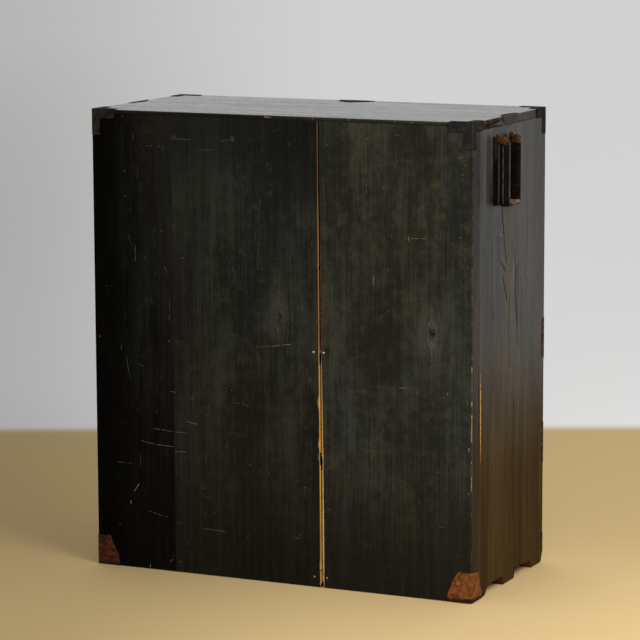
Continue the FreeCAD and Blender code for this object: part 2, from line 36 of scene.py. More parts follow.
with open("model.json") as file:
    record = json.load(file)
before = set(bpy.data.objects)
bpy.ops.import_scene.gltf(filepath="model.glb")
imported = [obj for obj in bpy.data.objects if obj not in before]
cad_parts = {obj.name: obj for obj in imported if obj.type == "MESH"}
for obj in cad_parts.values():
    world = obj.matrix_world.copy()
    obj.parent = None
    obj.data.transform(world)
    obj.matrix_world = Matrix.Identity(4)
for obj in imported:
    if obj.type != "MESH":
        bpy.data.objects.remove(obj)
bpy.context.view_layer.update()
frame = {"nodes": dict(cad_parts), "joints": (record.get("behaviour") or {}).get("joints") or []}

# noise_vector takes its offsets from the clock unless it is given a seed
noise.seed_set(1)

MM = 0.001
SIDES = (("left", -1), ("right", 1))
TIERS = range(1, 6)
JOINTS = {joint["name"]: joint for joint in frame["joints"]}

# Main faces of the case
TOP_LOW, TOP_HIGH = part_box("top_board")
HALF_WIDE = TOP_HIGH.x
FRONT = TOP_LOW.y
REAR = TOP_HIGH.y
CROWN = TOP_HIGH.z
INSIDE_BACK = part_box("back_plank_middle")[0].y
PLANK_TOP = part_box("back_plank_middle")[1].z
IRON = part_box("top_corner_mounts")[1].z - CROWN


# ------------------------------------------------------------------ material helpers

class Paint:
    """A material with one Principled shader, and short calls that build its nodes."""

    def __init__(self, name, specular=0.5, metallic=0.0):
        self.material = bpy.data.materials.new(name)
        self.material.use_nodes = True
        self.tree = self.material.node_tree
        self.tree.nodes.clear()
        output = self.tree.nodes.new("ShaderNodeOutputMaterial")
        self.shader = self.tree.nodes.new("ShaderNodeBsdfPrincipled")
        self.tree.links.new(self.shader.outputs["BSDF"], output.inputs["Surface"])
        self.shader.inputs["Specular IOR Level"].default_value = specular
        self.shader.inputs["Metallic"].default_value = metallic
        self.place = self.tree.nodes.new("ShaderNodeTexCoord").outputs["Object"]

    def make(self, kind, inputs, output=0, **settings):
        node = self.tree.nodes.new(kind)
        for key, value in settings.items():
            setattr(node, key, value)
        for key, value in inputs.items():
            self.feed(node.inputs[key], value)
        return node.outputs[output]

    def feed(self, socket, value):
        if isinstance(value, bpy.types.NodeSocket):
            self.tree.links.new(value, socket)
        else:
            socket.default_value = value

    def calc(self, operation, first, second=0.0, third=0.0):
        return self.make("ShaderNodeMath", {0: first, 1: second, 2: third}, operation=operation)

    def times(self, first, second):
        return self.calc("MULTIPLY", first, second)

    def swing(self, base, value, reach):
        """The base, moved up and down by a pattern that lies about 0.5."""
        return self.calc("MULTIPLY_ADD", self.calc("SUBTRACT", value, 0.5), reach, base)

    def along(self, axis, place=None):
        """The X, Y or Z (0, 1 or 2) of a place, by default of the point that is shaded."""
        return self.make("ShaderNodeSeparateXYZ", {0: place or self.place}).node.outputs[axis]

    def vector(self, operation, first, second=(0.0, 0.0, 0.0), output=0):
        return self.make("ShaderNodeVectorMath", {0: first, 1: second}, output, operation=operation)

    def noise(self, place, scale, detail=2.0, rough=0.5, warp=0.0):
        return self.make("ShaderNodeTexNoise", {"Vector": place, "Scale": scale, "Detail": detail,
                                                "Roughness": rough, "Distortion": warp})

    def ramp(self, value, low, high, to_low=0.0, to_high=1.0):
        return self.make("ShaderNodeMapRange", {0: value, 1: low, 2: high, 3: to_low, 4: to_high},
                         interpolation_type="SMOOTHSTEP")

    def mix(self, share, first, second, way="MIX"):
        return self.make("ShaderNodeMix", {0: share, 6: first, 7: second}, 2,
                         data_type="RGBA", blend_type=way)

    def largest(self, values):
        result = values[0]
        for value in values[1:]:
            result = self.calc("MAXIMUM", result, value)
        return result

    def finish(self, colour, roughness, height, depth):
        normal = self.make("ShaderNodeBump", {"Strength": 1.0, "Distance": depth, "Height": height})
        self.feed(self.shader.inputs["Base Color"], colour)
        self.feed(self.shader.inputs["Roughness"], roughness)
        self.feed(self.shader.inputs["Normal"], normal)
        return self.material


def tone(red, green, blue):
    return (red, green, blue, 1.0)


def mark_group():
    """Node group: 1 within a half width of the line from Start to Start + Along, else 0."""
    group = bpy.data.node_groups.new("line_mark", "ShaderNodeTree")
    sockets = (("Place", "NodeSocketVector"), ("Start", "NodeSocketVector"),
               ("Along", "NodeSocketVector"), ("Half width", "NodeSocketFloat"))
    for name, kind in sockets:
        group.interface.new_socket(name, in_out="INPUT", socket_type=kind)
    group.interface.new_socket("Mask", in_out="OUTPUT", socket_type="NodeSocketFloat")
    given = group.nodes.new("NodeGroupInput").outputs
    result = group.nodes.new("NodeGroupOutput")

    def vector(operation, first, second, output=0):
        node = group.nodes.new("ShaderNodeVectorMath")
        node.operation = operation
        group.links.new(first, node.inputs[0])
        group.links.new(second, node.inputs["Scale" if operation == "SCALE" else 1])
        return node.outputs[output]

    from_start = vector("SUBTRACT", given["Place"], given["Start"])
    share = group.nodes.new("ShaderNodeMath")
    share.operation = "DIVIDE"
    share.use_clamp = True
    group.links.new(vector("DOT_PRODUCT", from_start, given["Along"], 1), share.inputs[0])
    group.links.new(vector("DOT_PRODUCT", given["Along"], given["Along"], 1), share.inputs[1])
    nearest = vector("SCALE", given["Along"], share.outputs[0])
    distance = vector("DISTANCE", from_start, nearest, 1)
    edge = group.nodes.new("ShaderNodeMapRange")
    edge.interpolation_type = "SMOOTHSTEP"
    edge.inputs["From Min"].default_value = 0.0
    edge.inputs["To Min"].default_value = 1.0
    edge.inputs["To Max"].default_value = 0.0
    group.links.new(distance, edge.inputs["Value"])
    group.links.new(given["Half width"], edge.inputs["From Max"])
    group.links.new(edge.outputs[0], result.inputs["Mask"])
    return group


LINE_MARK = mark_group()


def line_mark(paint, place, start, end, half_width):
    node = paint.tree.nodes.new("ShaderNodeGroup")
    node.node_tree = LINE_MARK
    paint.feed(node.inputs["Place"], place)
    node.inputs["Start"].default_value = start
    node.inputs["Along"].default_value = Vector(end) - Vector(start)
    node.inputs["Half width"].default_value = half_width
    return node.outputs["Mask"]


def edge_nearness(paint, low, high, reach):
    """1 on the arrises of the box from low to high, falling to 0 at reach from them."""
    centre = (low + high) / 2
    half = (high - low) / 2
    from_centre = paint.vector("ABSOLUTE", paint.vector("SUBTRACT", paint.place, centre))
    inside = paint.make("ShaderNodeSeparateXYZ", {0: paint.vector("SUBTRACT", half, from_centre)})
    depths = inside.node.outputs
    smaller = paint.calc("MINIMUM", depths[0], depths[1])
    larger = paint.calc("MAXIMUM", depths[0], depths[1])
    middle = paint.calc("MAXIMUM", smaller, paint.calc("MINIMUM", larger, depths[2]))
    return paint.ramp(middle, 0.0, reach, 1.0, 0.0)


# ------------------------------------------------------------------ wood

STRETCH = {"x": Vector((1, 0, 0)), "y": Vector((0, 1, 0)), "z": Vector((0, 0, 1))}
NEUTRAL = (tone(0.93, 0.99, 1.0), tone(1.0, 0.95, 0.84))
MOSSY = (tone(0.86, 1.0, 0.92), tone(1.0, 0.94, 0.79))


def along_grain(grain, factor):
    """Scale that draws a pattern out along the grain by this factor."""
    return Vector((1, 1, 1)) - STRETCH[grain] * (1 - 1 / factor)


def around_knots(paint, knots):
    """The place with its X pushed sideways so that grain lines flow round each knot."""
    place = paint.place
    cores = []
    for centre, radius in knots:
        offset = paint.vector("MULTIPLY", paint.vector("SUBTRACT", paint.place, centre), (1.0, 0.0, 0.5))
        spread = paint.vector("LENGTH", offset, output=1)
        across = paint.along(0, offset)
        softened = paint.calc("ADD", paint.times(spread, spread), radius * radius * 0.5)
        push = paint.times(across, paint.calc("DIVIDE", -radius * radius * 1.6, softened))
        place = paint.vector("ADD", place, paint.make("ShaderNodeCombineXYZ", {0: push}))
        cores.append((spread, radius))
    return place, cores


def wood(name, grain, box, dark, light, raw, specular=0.3, roughness=(0.45, 0.62), seed=0.0,
         streaks=1.0, coarse=1.0, flecks=0.35, edge_wear=0.35, edge_reach=3 * MM, knots=(),
         marks=(), chips=(), stains=(), shades=(), specks=0.5, lift=0.12 * MM, tints=NEUTRAL,
         hairs=0.0, blotches=0.0, mottling=0.8, painted_sheen=None):
    """Stained board: growth lines, streaks and fibres along the grain, wear, specks, marks, knots.

    coarse widens the growth lines and streaks. A shade is (axis, full at, none at, strength,
    colour, roughness): a change of colour and roughness towards one end of a board, for a board
    stained or dulled differently there, or for painted shade, painted light falloff or a painted
    reflection of the floor. hairs are fine scratches across the board, and blotches are olive
    patches where the stain has thinned. painted_sheen is (from height, to height, colour): a
    painted reflection, a colour that is added more and more between them.
    """
    paint = Paint(name, specular)
    place, cores = around_knots(paint, knots)
    shifted = paint.vector("ADD", place, (seed, seed * 0.7, seed * 1.3))

    def layer(scale, factor, detail=2.0, rough=0.5, warp=0.0):
        drawn = paint.vector("MULTIPLY", shifted, along_grain(grain, factor))
        return paint.noise(drawn, scale, detail, rough, warp)

    broad = layer(9.0, 3.0, 2.0, 0.45)
    growth = paint.ramp(layer(75.0 / coarse, 30.0, 3.0, 0.6, 0.3), 0.3, 0.7)
    streak = paint.ramp(layer(250.0 / coarse, 40.0, 2.0, 0.6), 0.3, 0.7)
    fibre = layer(800.0, 30.0, 2.0, 0.65)
    pores = paint.ramp(layer(420.0, 12.0, 1.0, 0.4), 0.66, 0.74)
    mottle = paint.noise(shifted, 42.0, 4.0, 0.65)
    cluster = paint.ramp(paint.noise(shifted, 11.0, 2.0, 0.5), 0.45, 0.62)
    fleck = paint.times(paint.ramp(layer(330.0, 9.0, 1.0, 0.5), 0.68, 0.78), cluster)

    level = paint.swing(0.4, broad, 1.9)
    level = paint.swing(level, growth, 0.38 * streaks)
    level = paint.swing(level, streak, 0.38 * streaks)
    level = paint.swing(level, fibre, 0.7 * streaks)
    level = paint.swing(level, mottle, mottling)
    level = paint.calc("SUBTRACT", level, paint.times(pores, 0.2))
    colour = paint.mix(paint.ramp(level, 0.0, 1.0), dark, light)
    tint = paint.mix(paint.ramp(layer(6.0, 3.0), 0.38, 0.62), *tints)
    colour = paint.mix(1.0, colour, tint, "MULTIPLY")
    if blotches:
        thin = paint.ramp(paint.noise(shifted, 26.0, 4.0, 0.7, 0.4), 0.56, 0.7, 0.0, blotches)
        colour = paint.mix(thin, colour, tone(0.045, 0.036, 0.014))
    bright = paint.mix(0.5, light, tone(0.16, 0.15, 0.125))
    colour = paint.mix(paint.times(fleck, flecks), colour, bright)

    sheen = paint.calc("MULTIPLY_ADD", growth, 0.5, paint.times(streak, 0.5))
    gloss = paint.calc("MULTIPLY_ADD", sheen, roughness[1] - roughness[0], roughness[0])
    gloss = paint.swing(gloss, mottle, 0.25)
    for axis, full, none, strength, ink, dull in shades:
        along = paint.along(axis)
        if full < none:
            fade = paint.ramp(along, full, none, strength, 0.0)
        else:
            fade = paint.ramp(along, none, full, 0.0, strength)
        grained = paint.mix(sheen, [0.5 * c for c in ink[:3]] + [1.0], [1.5 * c for c in ink[:3]] + [1.0])
        colour = paint.mix(fade, colour, grained)
        gloss = paint.calc("MULTIPLY_ADD", fade, paint.calc("SUBTRACT", dull, gloss), gloss)

    # painted sheen: a colour added between two heights, standing in for a reflection
    if painted_sheen:
        rise = paint.along(2)
        share = paint.make("ShaderNodeMapRange", {0: rise, 1: painted_sheen[0], 2: painted_sheen[1]})
        colour = paint.mix(share, colour, painted_sheen[2], "ADD")

    for spread, radius in cores:
        halo = paint.ramp(spread, radius * 0.8, radius * 4.2, 0.9, 0.0)
        bent = paint.noise(paint.place, 70.0, 3.0, 0.6)
        turns = paint.calc("MULTIPLY_ADD", spread, 1100.0, paint.times(bent, 34.0))
        rings = paint.ramp(paint.calc("SINE", turns), -0.7, 1.0, 0.25, 1.0)
        swirl = paint.times(paint.times(halo, rings), streak)
        colour = paint.mix(swirl, colour, tone(0.06, 0.062, 0.055))
        heart = paint.ramp(spread, radius * 0.15, radius * 0.7, 0.9, 0.0)
        colour = paint.mix(paint.times(heart, rings), colour, tone(0.001, 0.001, 0.001))

    low, high = box
    patches = paint.ramp(paint.noise(shifted, 55.0, 3.0, 0.7), 0.47, 0.66)
    near = edge_nearness(paint, low, high, edge_reach)
    worn = paint.times(paint.times(near, patches), edge_wear)
    colour = paint.mix(worn, colour, raw)
    gloss = paint.calc("MULTIPLY_ADD", worn, 0.3, gloss)

    dots = paint.tree.nodes.new("ShaderNodeTexVoronoi")
    paint.feed(dots.inputs["Vector"], shifted)
    dots.inputs["Scale"].default_value = 46.0
    picked = paint.ramp(paint.make("ShaderNodeSeparateColor", {0: dots.outputs["Color"]}), 0.72, 0.9)
    dust = paint.times(paint.ramp(dots.outputs["Distance"], 0.03, 0.065, 1.0, 0.0), picked)
    colour = paint.mix(paint.times(dust, specks), colour, tone(0.2, 0.19, 0.16))

    if hairs:
        cells = paint.make("ShaderNodeTexVoronoi", {"Vector": shifted, "Scale": 17.0},
                           feature="DISTANCE_TO_EDGE")
        shown = paint.ramp(paint.noise(shifted, 38.0, 2.0, 0.6), 0.52, 0.66, 0.0, hairs)
        hair = paint.times(paint.ramp(cells, 0.003, 0.009, 1.0, 0.0), shown)
        colour = paint.mix(hair, colour, tone(0.11, 0.105, 0.085))

    broken = paint.ramp(paint.noise(shifted, 300.0, 2.0, 0.6), 0.34, 0.54)
    for ink, strength, half, runs in marks:
        lines = paint.largest([line_mark(paint, paint.place, start, end, half) for start, end in runs])
        shown = paint.times(paint.times(lines, broken), strength)
        colour = paint.mix(shown, colour, ink)
    if chips:
        jitter = paint.make("ShaderNodeTexNoise", {"Vector": paint.place, "Scale": 420.0}, 1)
        jitter = paint.vector("SUBTRACT", jitter, (0.5, 0.5, 0.5))
        ragged = paint.vector("ADD", paint.place, paint.vector("MULTIPLY", jitter, (3.2 * MM,) * 3))
        for share, ink in ((1.25, CHIP_RIM), (0.7, raw)):
            spots = [line_mark(paint, ragged, start, end, half * share) for start, end, half in chips]
            colour = paint.mix(paint.largest(spots), colour, ink)
    for centre, reach, strength, ink in stains:
        spot = line_mark(paint, paint.place, centre, centre + Vector((0, 0, 0.001 * MM)), reach)
        shown = paint.times(paint.times(spot, mottle), strength)
        colour = paint.mix(shown, colour, ink)

    height = paint.calc("MULTIPLY_ADD", streak, 0.6, paint.times(fibre, 0.5))
    height = paint.calc("SUBTRACT", height, paint.times(pores, 0.8))
    height = paint.calc("SUBTRACT", height, paint.times(worn, 1.2))
    return paint.finish(colour, gloss, height, lift)


def raw_wood(name, grain, dark, light, seed=0.0, specular=0.25, bands=()):
    """Unfinished softwood: warm, with growth lines and darkened patches.

    A band is (low, high, soft, strength, colour): a stretch of height in that colour, with its
    ends as soft as that many metres.
    """
    paint = Paint(name, specular)
    shifted = paint.vector("ADD", paint.place, (seed, seed, seed))
    fibre_place = paint.vector("MULTIPLY", shifted, along_grain(grain, 40.0))
    band_place = paint.vector("MULTIPLY", shifted, along_grain(grain, 7.0))
    growth = paint.ramp(paint.noise(fibre_place, 150.0, 3.0, 0.55, 0.5), 0.3, 0.7)
    fibre = paint.noise(fibre_place, 800.0, 2.0, 0.6)
    broad = paint.ramp(paint.noise(band_place, 9.0, 3.0, 0.6), 0.3, 0.7)
    level = paint.calc("MULTIPLY_ADD", growth, 0.45, paint.times(broad, 0.4))
    level = paint.calc("MULTIPLY_ADD", fibre, 0.25, level)
    colour = paint.mix(paint.ramp(level, 0.1, 0.95), dark, light)
    grime_and_shade = paint.ramp(paint.noise(shifted, 17.0, 5.0, 0.65), 0.52, 0.78, 0.0, 0.45)
    colour = paint.mix(grime_and_shade, colour, tone(0.09, 0.05, 0.022))
    for low, high, soft, strength, ink in bands:
        rise = paint.along(2)
        inside = paint.times(paint.ramp(rise, low - soft, low + soft),
                            paint.ramp(rise, high - soft, high + soft, strength, 0.0))
        colour = paint.mix(inside, colour, ink)
    gloss = paint.ramp(growth, 0.0, 1.0, 0.72, 0.58)
    return paint.finish(colour, gloss, paint.calc("ADD", growth, fibre), 0.1 * MM)


# ------------------------------------------------------------------ iron

def iron(name, dark, light, rust, rust_share, metallic=0.0, roughness=(0.42, 0.66), specular=0.5,
         seed=0.0, lift=0.25 * MM):
    """Hand-forged iron: hammered surface, dark scale, patches of rust."""
    paint = Paint(name, specular, metallic)
    shifted = paint.vector("ADD", paint.place, (seed, seed, seed))
    hammer = paint.make("ShaderNodeTexVoronoi", {"Vector": shifted, "Scale": 150.0, "Smoothness": 0.7},
                        feature="SMOOTH_F1")
    grain = paint.noise(shifted, 900.0, 3.0, 0.6)
    cloud = paint.noise(shifted, 60.0, 4.0, 0.65)
    colour = paint.mix(paint.ramp(cloud, 0.3, 0.7), dark, light)
    bloom = paint.ramp(paint.noise(shifted, 95.0, 5.0, 0.7, 0.6), 0.68 - rust_share, 0.8 - rust_share)
    flecked = paint.times(bloom, paint.ramp(grain, 0.25, 0.6, 0.55, 1.0))
    colour = paint.mix(flecked, colour, rust)
    gloss = paint.calc("MULTIPLY_ADD", cloud, roughness[1] - roughness[0], roughness[0])
    gloss = paint.calc("MULTIPLY_ADD", bloom, 0.2, gloss)
    height = paint.calc("MULTIPLY_ADD", grain, 0.25, paint.times(hammer, 0.9))
    height = paint.calc("MULTIPLY_ADD", bloom, 0.25, height)
    return paint.finish(colour, gloss, height, lift)


def rusted_iron(name, dark, light, bloom, seed=0.0, roughness=(0.72, 0.95), pale_share=0.5,
                grain_scale=260.0, scale_left=0.57):
    """Iron rusted right through: mottled brown and orange, black in patches, and black at the floor as
    painted shade.

    The higher scale_left is, the less of the black scale is left.
    """
    paint = Paint(name, 0.12)
    shifted = paint.vector("ADD", paint.place, (seed, seed, seed))
    cloud = paint.noise(shifted, 60.0, 5.0, 0.7, 0.8)
    grain = paint.noise(shifted, grain_scale, 4.0, 0.65)
    fine = paint.noise(shifted, 1500.0, 2.0, 0.6)
    colour = paint.mix(paint.ramp(cloud, 0.36, 0.62), dark, light)
    colour = paint.mix(paint.ramp(grain, 0.42, 0.66, 0.0, 0.75), colour, bloom)
    pale = paint.ramp(paint.noise(shifted, 90.0, 3.0, 0.6), 0.6, 0.72, 0.0, pale_share)
    colour = paint.mix(pale, colour, tone(0.34, 0.2, 0.12))
    patches = paint.ramp(paint.noise(shifted, 75.0, 4.0, 0.75, 1.0), scale_left, scale_left + 0.09, 0.0, 0.85)
    # Painted shade: black with a ragged top where the iron meets the floor.
    height_above = paint.along(2)
    ragged = paint.calc("MULTIPLY_ADD", paint.noise(shifted, 80.0, 3.0, 0.7), -16 * MM, height_above)
    foot = paint.ramp(ragged, -2 * MM, 3 * MM, 0.95, 0.0)
    colour = paint.mix(paint.largest([patches, foot]), colour, tone(0.012, 0.005, 0.003))
    height = paint.calc("MULTIPLY_ADD", grain, 0.8, paint.times(fine, 0.4))
    height = paint.calc("SUBTRACT", height, patches)
    return paint.finish(colour, paint.ramp(grain, 0.0, 1.0, roughness[1], roughness[0]), height, 0.4 * MM)


def nail_iron(name, dull, bright, metallic):
    """Nail heads, from bright steel to heads painted over with the board."""
    paint = Paint(name, 0.5, metallic)
    cloud = paint.noise(paint.place, 900.0, 3.0, 0.6)
    colour = paint.mix(cloud, dull, bright)
    return paint.finish(colour, paint.ramp(cloud, 0.2, 0.8, 0.3, 0.55), cloud, 0.05 * MM)


# ------------------------------------------------------------------ mesh helpers

def axes(letters, origin=(0, 0, 0)):
    """Matrix that takes outline coordinates (a, b, depth) to the named axes; capitals are reversed."""
    matrix = Matrix.Identity(4)
    for column, letter in enumerate(letters):
        row = "xyz".index(letter.lower())
        for n in range(3):
            matrix[n][column] = 0.0
        matrix[row][column] = 1.0 if letter.islower() else -1.0
    matrix.translation = Vector(origin)
    return matrix


def look_of_new(bm, known, look):
    """Gives this material index to the faces made since known was taken."""
    for face in set(bm.faces) - known:
        face.material_index = look


def add_prism(bm, outline, depth, matrix):
    """A solid of this flat outline, from 0 to depth along the matrix's third axis."""
    low = [bm.verts.new(matrix @ Vector((a, b, 0.0))) for a, b in outline]
    high = [bm.verts.new(matrix @ Vector((a, b, depth))) for a, b in outline]
    count = len(outline)
    faces = [bm.faces.new(low), bm.faces.new(high)]
    for n in range(count):
        after = (n + 1) % count
        faces.append(bm.faces.new((low[n], low[after], high[after], high[n])))
    return faces


def add_box(bm, low, high):
    outline = [(low[0], low[1]), (high[0], low[1]), (high[0], high[1]), (low[0], high[1])]
    return add_prism(bm, outline, high[2] - low[2], axes("xyz", (0, 0, low[2])))


def soften(bm, width, segments=2, faces=None, angle=35.0):
    """Rounds every sharp edge, or only those of the given faces."""
    bmesh.ops.recalc_face_normals(bm, faces=bm.faces)
    wanted = dict.fromkeys(edge for face in faces for edge in face.edges) if faces else bm.edges
    sharp = [edge for edge in wanted if edge.is_manifold and edge.calc_face_angle() > math.radians(angle)]
    bmesh.ops.bevel(bm, geom=sharp, offset=width, segments=segments, affect="EDGES",
                    profile=0.5, clamp_overlap=True)


def add_rings(bm, rings, close=True):
    """Skins a list of rings of points, and closes both ends."""
    loops = [[bm.verts.new(point) for point in ring] for ring in rings]
    count = len(loops[0])
    for first, second in zip(loops, loops[1:]):
        for n in range(count):
            after = (n + 1) % count
            bm.faces.new((first[n], first[after], second[after], second[n]))
    if close:
        bm.faces.new(loops[0])
        bm.faces.new(loops[-1])
    return loops


def add_lathe(bm, profile, matrix, steps=24, lobes=0, lobe_depth=0.0):
    """Turns (radius, depth) points about the matrix's third axis; lobes scallop the rim."""
    rings = []
    for radius, depth in profile:
        ring = []
        for n in range(steps):
            angle = 2 * math.pi * n / steps
            reach = radius * (1 - lobe_depth * (0.5 + 0.5 * math.cos(lobes * angle)))
            ring.append(matrix @ Vector((reach * math.cos(angle), reach * math.sin(angle), depth)))
        rings.append(ring)
    add_rings(bm, rings)


def in_mm(rows):
    """Radius and depth of a profile, from millimetres."""
    return [(radius * MM, depth * MM) for radius, depth in rows]


def add_dome(bm, centre, outward, radius, height):
    """A nail head: a low dome that stands on its centre point and faces outward."""
    turn = Vector(outward).to_track_quat("Z", "Y").to_matrix().to_4x4()
    turn.translation = Vector(centre)
    profile = ((1.0, 0.0), (0.94, 0.45), (0.7, 0.82), (0.3, 1.0))
    add_lathe(bm, [(radius * wide, height * up) for wide, up in profile], turn, 12)


def link(name, data):
    """An object of this data, in the scene."""
    made = bpy.data.objects.new(name, data)
    bpy.context.scene.collection.objects.link(made)
    return made


def shade_evenly(piece):
    even = piece.modifiers.new("even_shading", "WEIGHTED_NORMAL")
    even.mode = "FACE_AREA"
    even.weight = 100


def finish_piece(name, bm, body, materials, replaced=()):
    """Makes the mesh an object that rides on a body and stands for the CAD nodes it replaces."""
    bmesh.ops.recalc_face_normals(bm, faces=bm.faces)
    for face in bm.faces:
        face.smooth = True
    mesh = bpy.data.meshes.new(name)
    bm.to_mesh(mesh)
    bm.free()
    for material in materials:
        mesh.materials.append(material)
    piece = link(name, mesh)
    shade_evenly(piece)
    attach(piece, body)
    if replaced:
        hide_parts(*replaced)
    return piece


def waver(along, seed, size, reach):
    """A smooth wander of up to about size, for a hand-cut edge."""
    return size * noise.noise(Vector((along / reach, seed, 0.37 * seed)))


def welded(node):
    """A node's CAD mesh with the faces of each solid joined."""
    bm = bmesh.new()
    bm.from_mesh(frame["nodes"][node].data)
    bmesh.ops.remove_doubles(bm, verts=bm.verts, dist=0.001 * MM)
    return bm


def solids_of(node):
    """Lowest and highest corner of each separate solid of a node."""
    bm = welded(node)
    waiting = set(bm.verts)
    boxes = []
    while waiting:
        reached = [waiting.pop()]
        points = []
        while reached:
            vertex = reached.pop()
            points.append(vertex.co.copy())
            for edge in vertex.link_edges:
                other = edge.other_vert(vertex)
                if other in waiting:
                    waiting.remove(other)
                    reached.append(other)
        boxes.append((Vector(map(min, *points)), Vector(map(max, *points))))
    bm.free()
    return sorted(boxes, key=lambda box: tuple(box[0]))


def side_outline(node, x):
    """The (y, z) corners, in order, of a node's flat face at this x."""
    bm = welded(node)
    flat = {face for face in bm.faces if all(abs(vertex.co.x - x) < 0.01 * MM for vertex in face.verts)}
    rim = [edge for edge in bm.edges if len(flat.intersection(edge.link_faces)) == 1]
    start = min((vertex for edge in rim for vertex in edge.verts), key=lambda v: (v.co.y, v.co.z))
    outline = [start]
    while rim:
        edge = next(edge for edge in rim if outline[-1] in edge.verts)
        rim.remove(edge)
        outline.append(edge.other_vert(outline[-1]))
    corners = [(vertex.co.y, vertex.co.z) for vertex in outline[:-1]]
    bm.free()
    return corners


# ------------------------------------------------------------------ boards of the case

RAW_ORANGE = tone(0.42, 0.22, 0.07)
CHIP_RIM = tone(0.10, 0.045, 0.015)
SPECK_GREY = tone(0.16, 0.15, 0.125)
RUST_STAIN = tone(0.04, 0.016, 0.006)
# Painted shade for cracks and holes: near black, laid along their lines
CRACK_SHADE = tone(0.002, 0.0017, 0.0014)


def on_back(x, z):
    """A point on the planked back, from millimetres."""
    return Vector((x * MM, REAR, z * MM))


def on_side(y, z, sign=-1):
    """A point on a side board, from millimetres."""
    return Vector((sign * HALF_WIDE, y * MM, z * MM))


# Scratches and specks of the back: (material name, half width in mm, runs). Each run is a chain
# of x, z in millimetres, or one spot. The places were picked by eye in the picture, but another
# program turned most of them into millimetres through the fitted camera.
BACK_MARKS = [
    ("pale", 0.6, (
        (261, 329.5, 217, 328), (211, 317.5, 180, 313), (288, 297.5, 238, 293.5, 206, 293),
        (318, 269.5, 284, 264, 238, 262), (238, 252.5, 210, 253.5), (247, 377.5, 232, 376),
        (180, 97.5, 119, 95.5), (-264, 421.5, -284, 423), (255, 635, 250, 619), (55, 482, 13, 486),
        (-58, 206.5, -58, 194), (-343, 729.5, -343, 721.5), (-194, 822.5, -194, 802.5),
        (197, 858.5, 197, 849), (91, 834.5, 91, 828.5), (323, 676, 323, 641))),
    ("faint", 0.6, (
        (373, 220, 335, 219.5), (323, 429.5, 306, 424.5), (347, 444, 339, 394.5), (359, 468.5, 358, 454),
        (304, 124, 260, 113.5), (316, 244.5, 318, 212), (99, 363.5, 87, 365, 75, 363, 66, 357.5),
        (-216, 419, -232, 420), (-259, 239.5, -282, 227), (-140, 666, -153, 666), (180, 875, 138, 877),
        (-183, 925.5, -182, 863), (-152, 727.5, -152, 715), (-110, 319.5, -117, 303.5),
        (-307, 378, -310, 374), (-333, 149.5, -339, 146.5), (-349, 149.5, -366, 149.5),
        (246, 574.5, 246, 516.5), (228, 895.5, 191, 895), (127, 894.5, 103, 898.5),
        (233, 897, 236, 900.5, 240, 900, 241, 896, 238, 893, 234, 894, 233, 897))),
    ("pale", 1.2, ((-209, 617),)),
    ("yellow", 0.7, (
        (319, 181, 334, 159.5), (343, 146, 340, 131.5), (13, 486, -6, 490, -31, 493),
        (197, 367, 195, 365.5), (-367, 420, -367, 414.5), (-284, 725, -284, 712.5),
        (-288, 719.5, -322, 721), (297, 11.5, 297, 2), (189, 433.5), (196, 426.5), (-204, 96.5),
        (-389, 889), (-393, 884, -394, 879), (-391, 876), (-398, 873), (-401, 869.5, -402, 866),
        (-397, 862), (-404, 860), (-399, 848), (-396, 838), (-394, 712), (-402, 706), (-405, 688),
        (-391, 684), (-384, 697), (-399, 672), (-408, 655))),
    ("grey", 1.1, (
        (-209, 640.5, -209, 618.5), (260, 114.5, 256, 113.5))),
    ("brown", 0.8, (
        (-27, 96, -52, 98.5), (-119, 291, -145, 290), (-190, 289.4, -247, 289), (0, 675.5),
        (-212, 3.5), (-232, 4), (-130, 233, -160, 233.3), (-185, 231.2, -214, 227.5), (133, 439),
        (-345, 818.5))),
    ("grey", 1.2, (
        (-301, 414.5), (-396, 407.5), (-298, 129), (-228, 86), (-204, 136.5), (-210, 153.5),
        (-154, 927.5), (-229, 817), (-198, 748.5), (-376, 715.5), (-400, 859.5), (-396, 850),
        (-415, 752), (-415, 725.5), (-407, 703), (-409, 628.5), (-410, 667.5), (-404, 683),
        (-417, 615), (-410, 552), (-242, 573.5), (-212, 560), (309, 879.5), (291, 880), (283, 880.5),
        (265, 880), (32, 882.5), (125, 807), (148, 774), (144, 757), (108, 750.5), (176, 696.5),
        (214, 655.5), (158, 607), (391, 587), (261, 708), (210, 62), (223, 24.5), (245, 26),
        (241, 35.5), (22, 226), (34, 205.5), (-41, 217.5), (349, 938.5), (283, 938.5), (227, 936.5),
        (220, 937.5), (321, 334.5))),
]


def add_sliver(bm, start, end, half):
    """A ragged sliver along a scratch, half sunk in the back, broken where the wood stayed whole."""
    along = end - start
    length = along.length
    way = along.normalized()
    across = Vector((-way.z, 0, way.x))
    deep = Vector((0, 0.05 * MM, 0))
    steps = max(3, round(length / (1.6 * MM)))
    rings = []
    made = []
    for n in range(steps + 1):
        spot = start + along * (n / steps)
        rough = noise.noise(spot * 430)
        width = half * (0.75 + 0.9 * rough) * min(1.0, 0.35 + 4 * min(n, steps - n) / steps)
        if width > 0.3 * half:
            spot = spot + across * half * 0.6 * noise.noise(spot * 190)
            side_way = across * width
            rings.append([spot - side_way - deep, spot + side_way - deep,
                          spot + side_way + deep, spot - side_way + deep])
        if (width <= 0.3 * half or n == steps) and rings:
            if len(rings) > 1:
                made += add_rings(bm, rings)
            rings = []
    return {face for loop in made for vertex in loop for face in vertex.link_faces}


def add_back_marks(bm, low, high, first_look):
    """The marks that lie on the back's stretch from x = low to x = high."""
    for ink, half, runs in BACK_MARKS:
        for run in runs:
            points = [on_back(run[n], run[n + 1]) for n in range(0, len(run), 2)]
            if len(points) == 1:
                points.append(points[0] + Vector((0.3, 0, -1.6)) * half * MM)
            for start, end in zip(points, points[1:]):
                if low + MM < (start.x + end.x) / 2 < high - MM:
                    for face in add_sliver(bm, start, end, half * MM):
                        face.material_index = first_look + list(MARK_WOOD).index(ink)


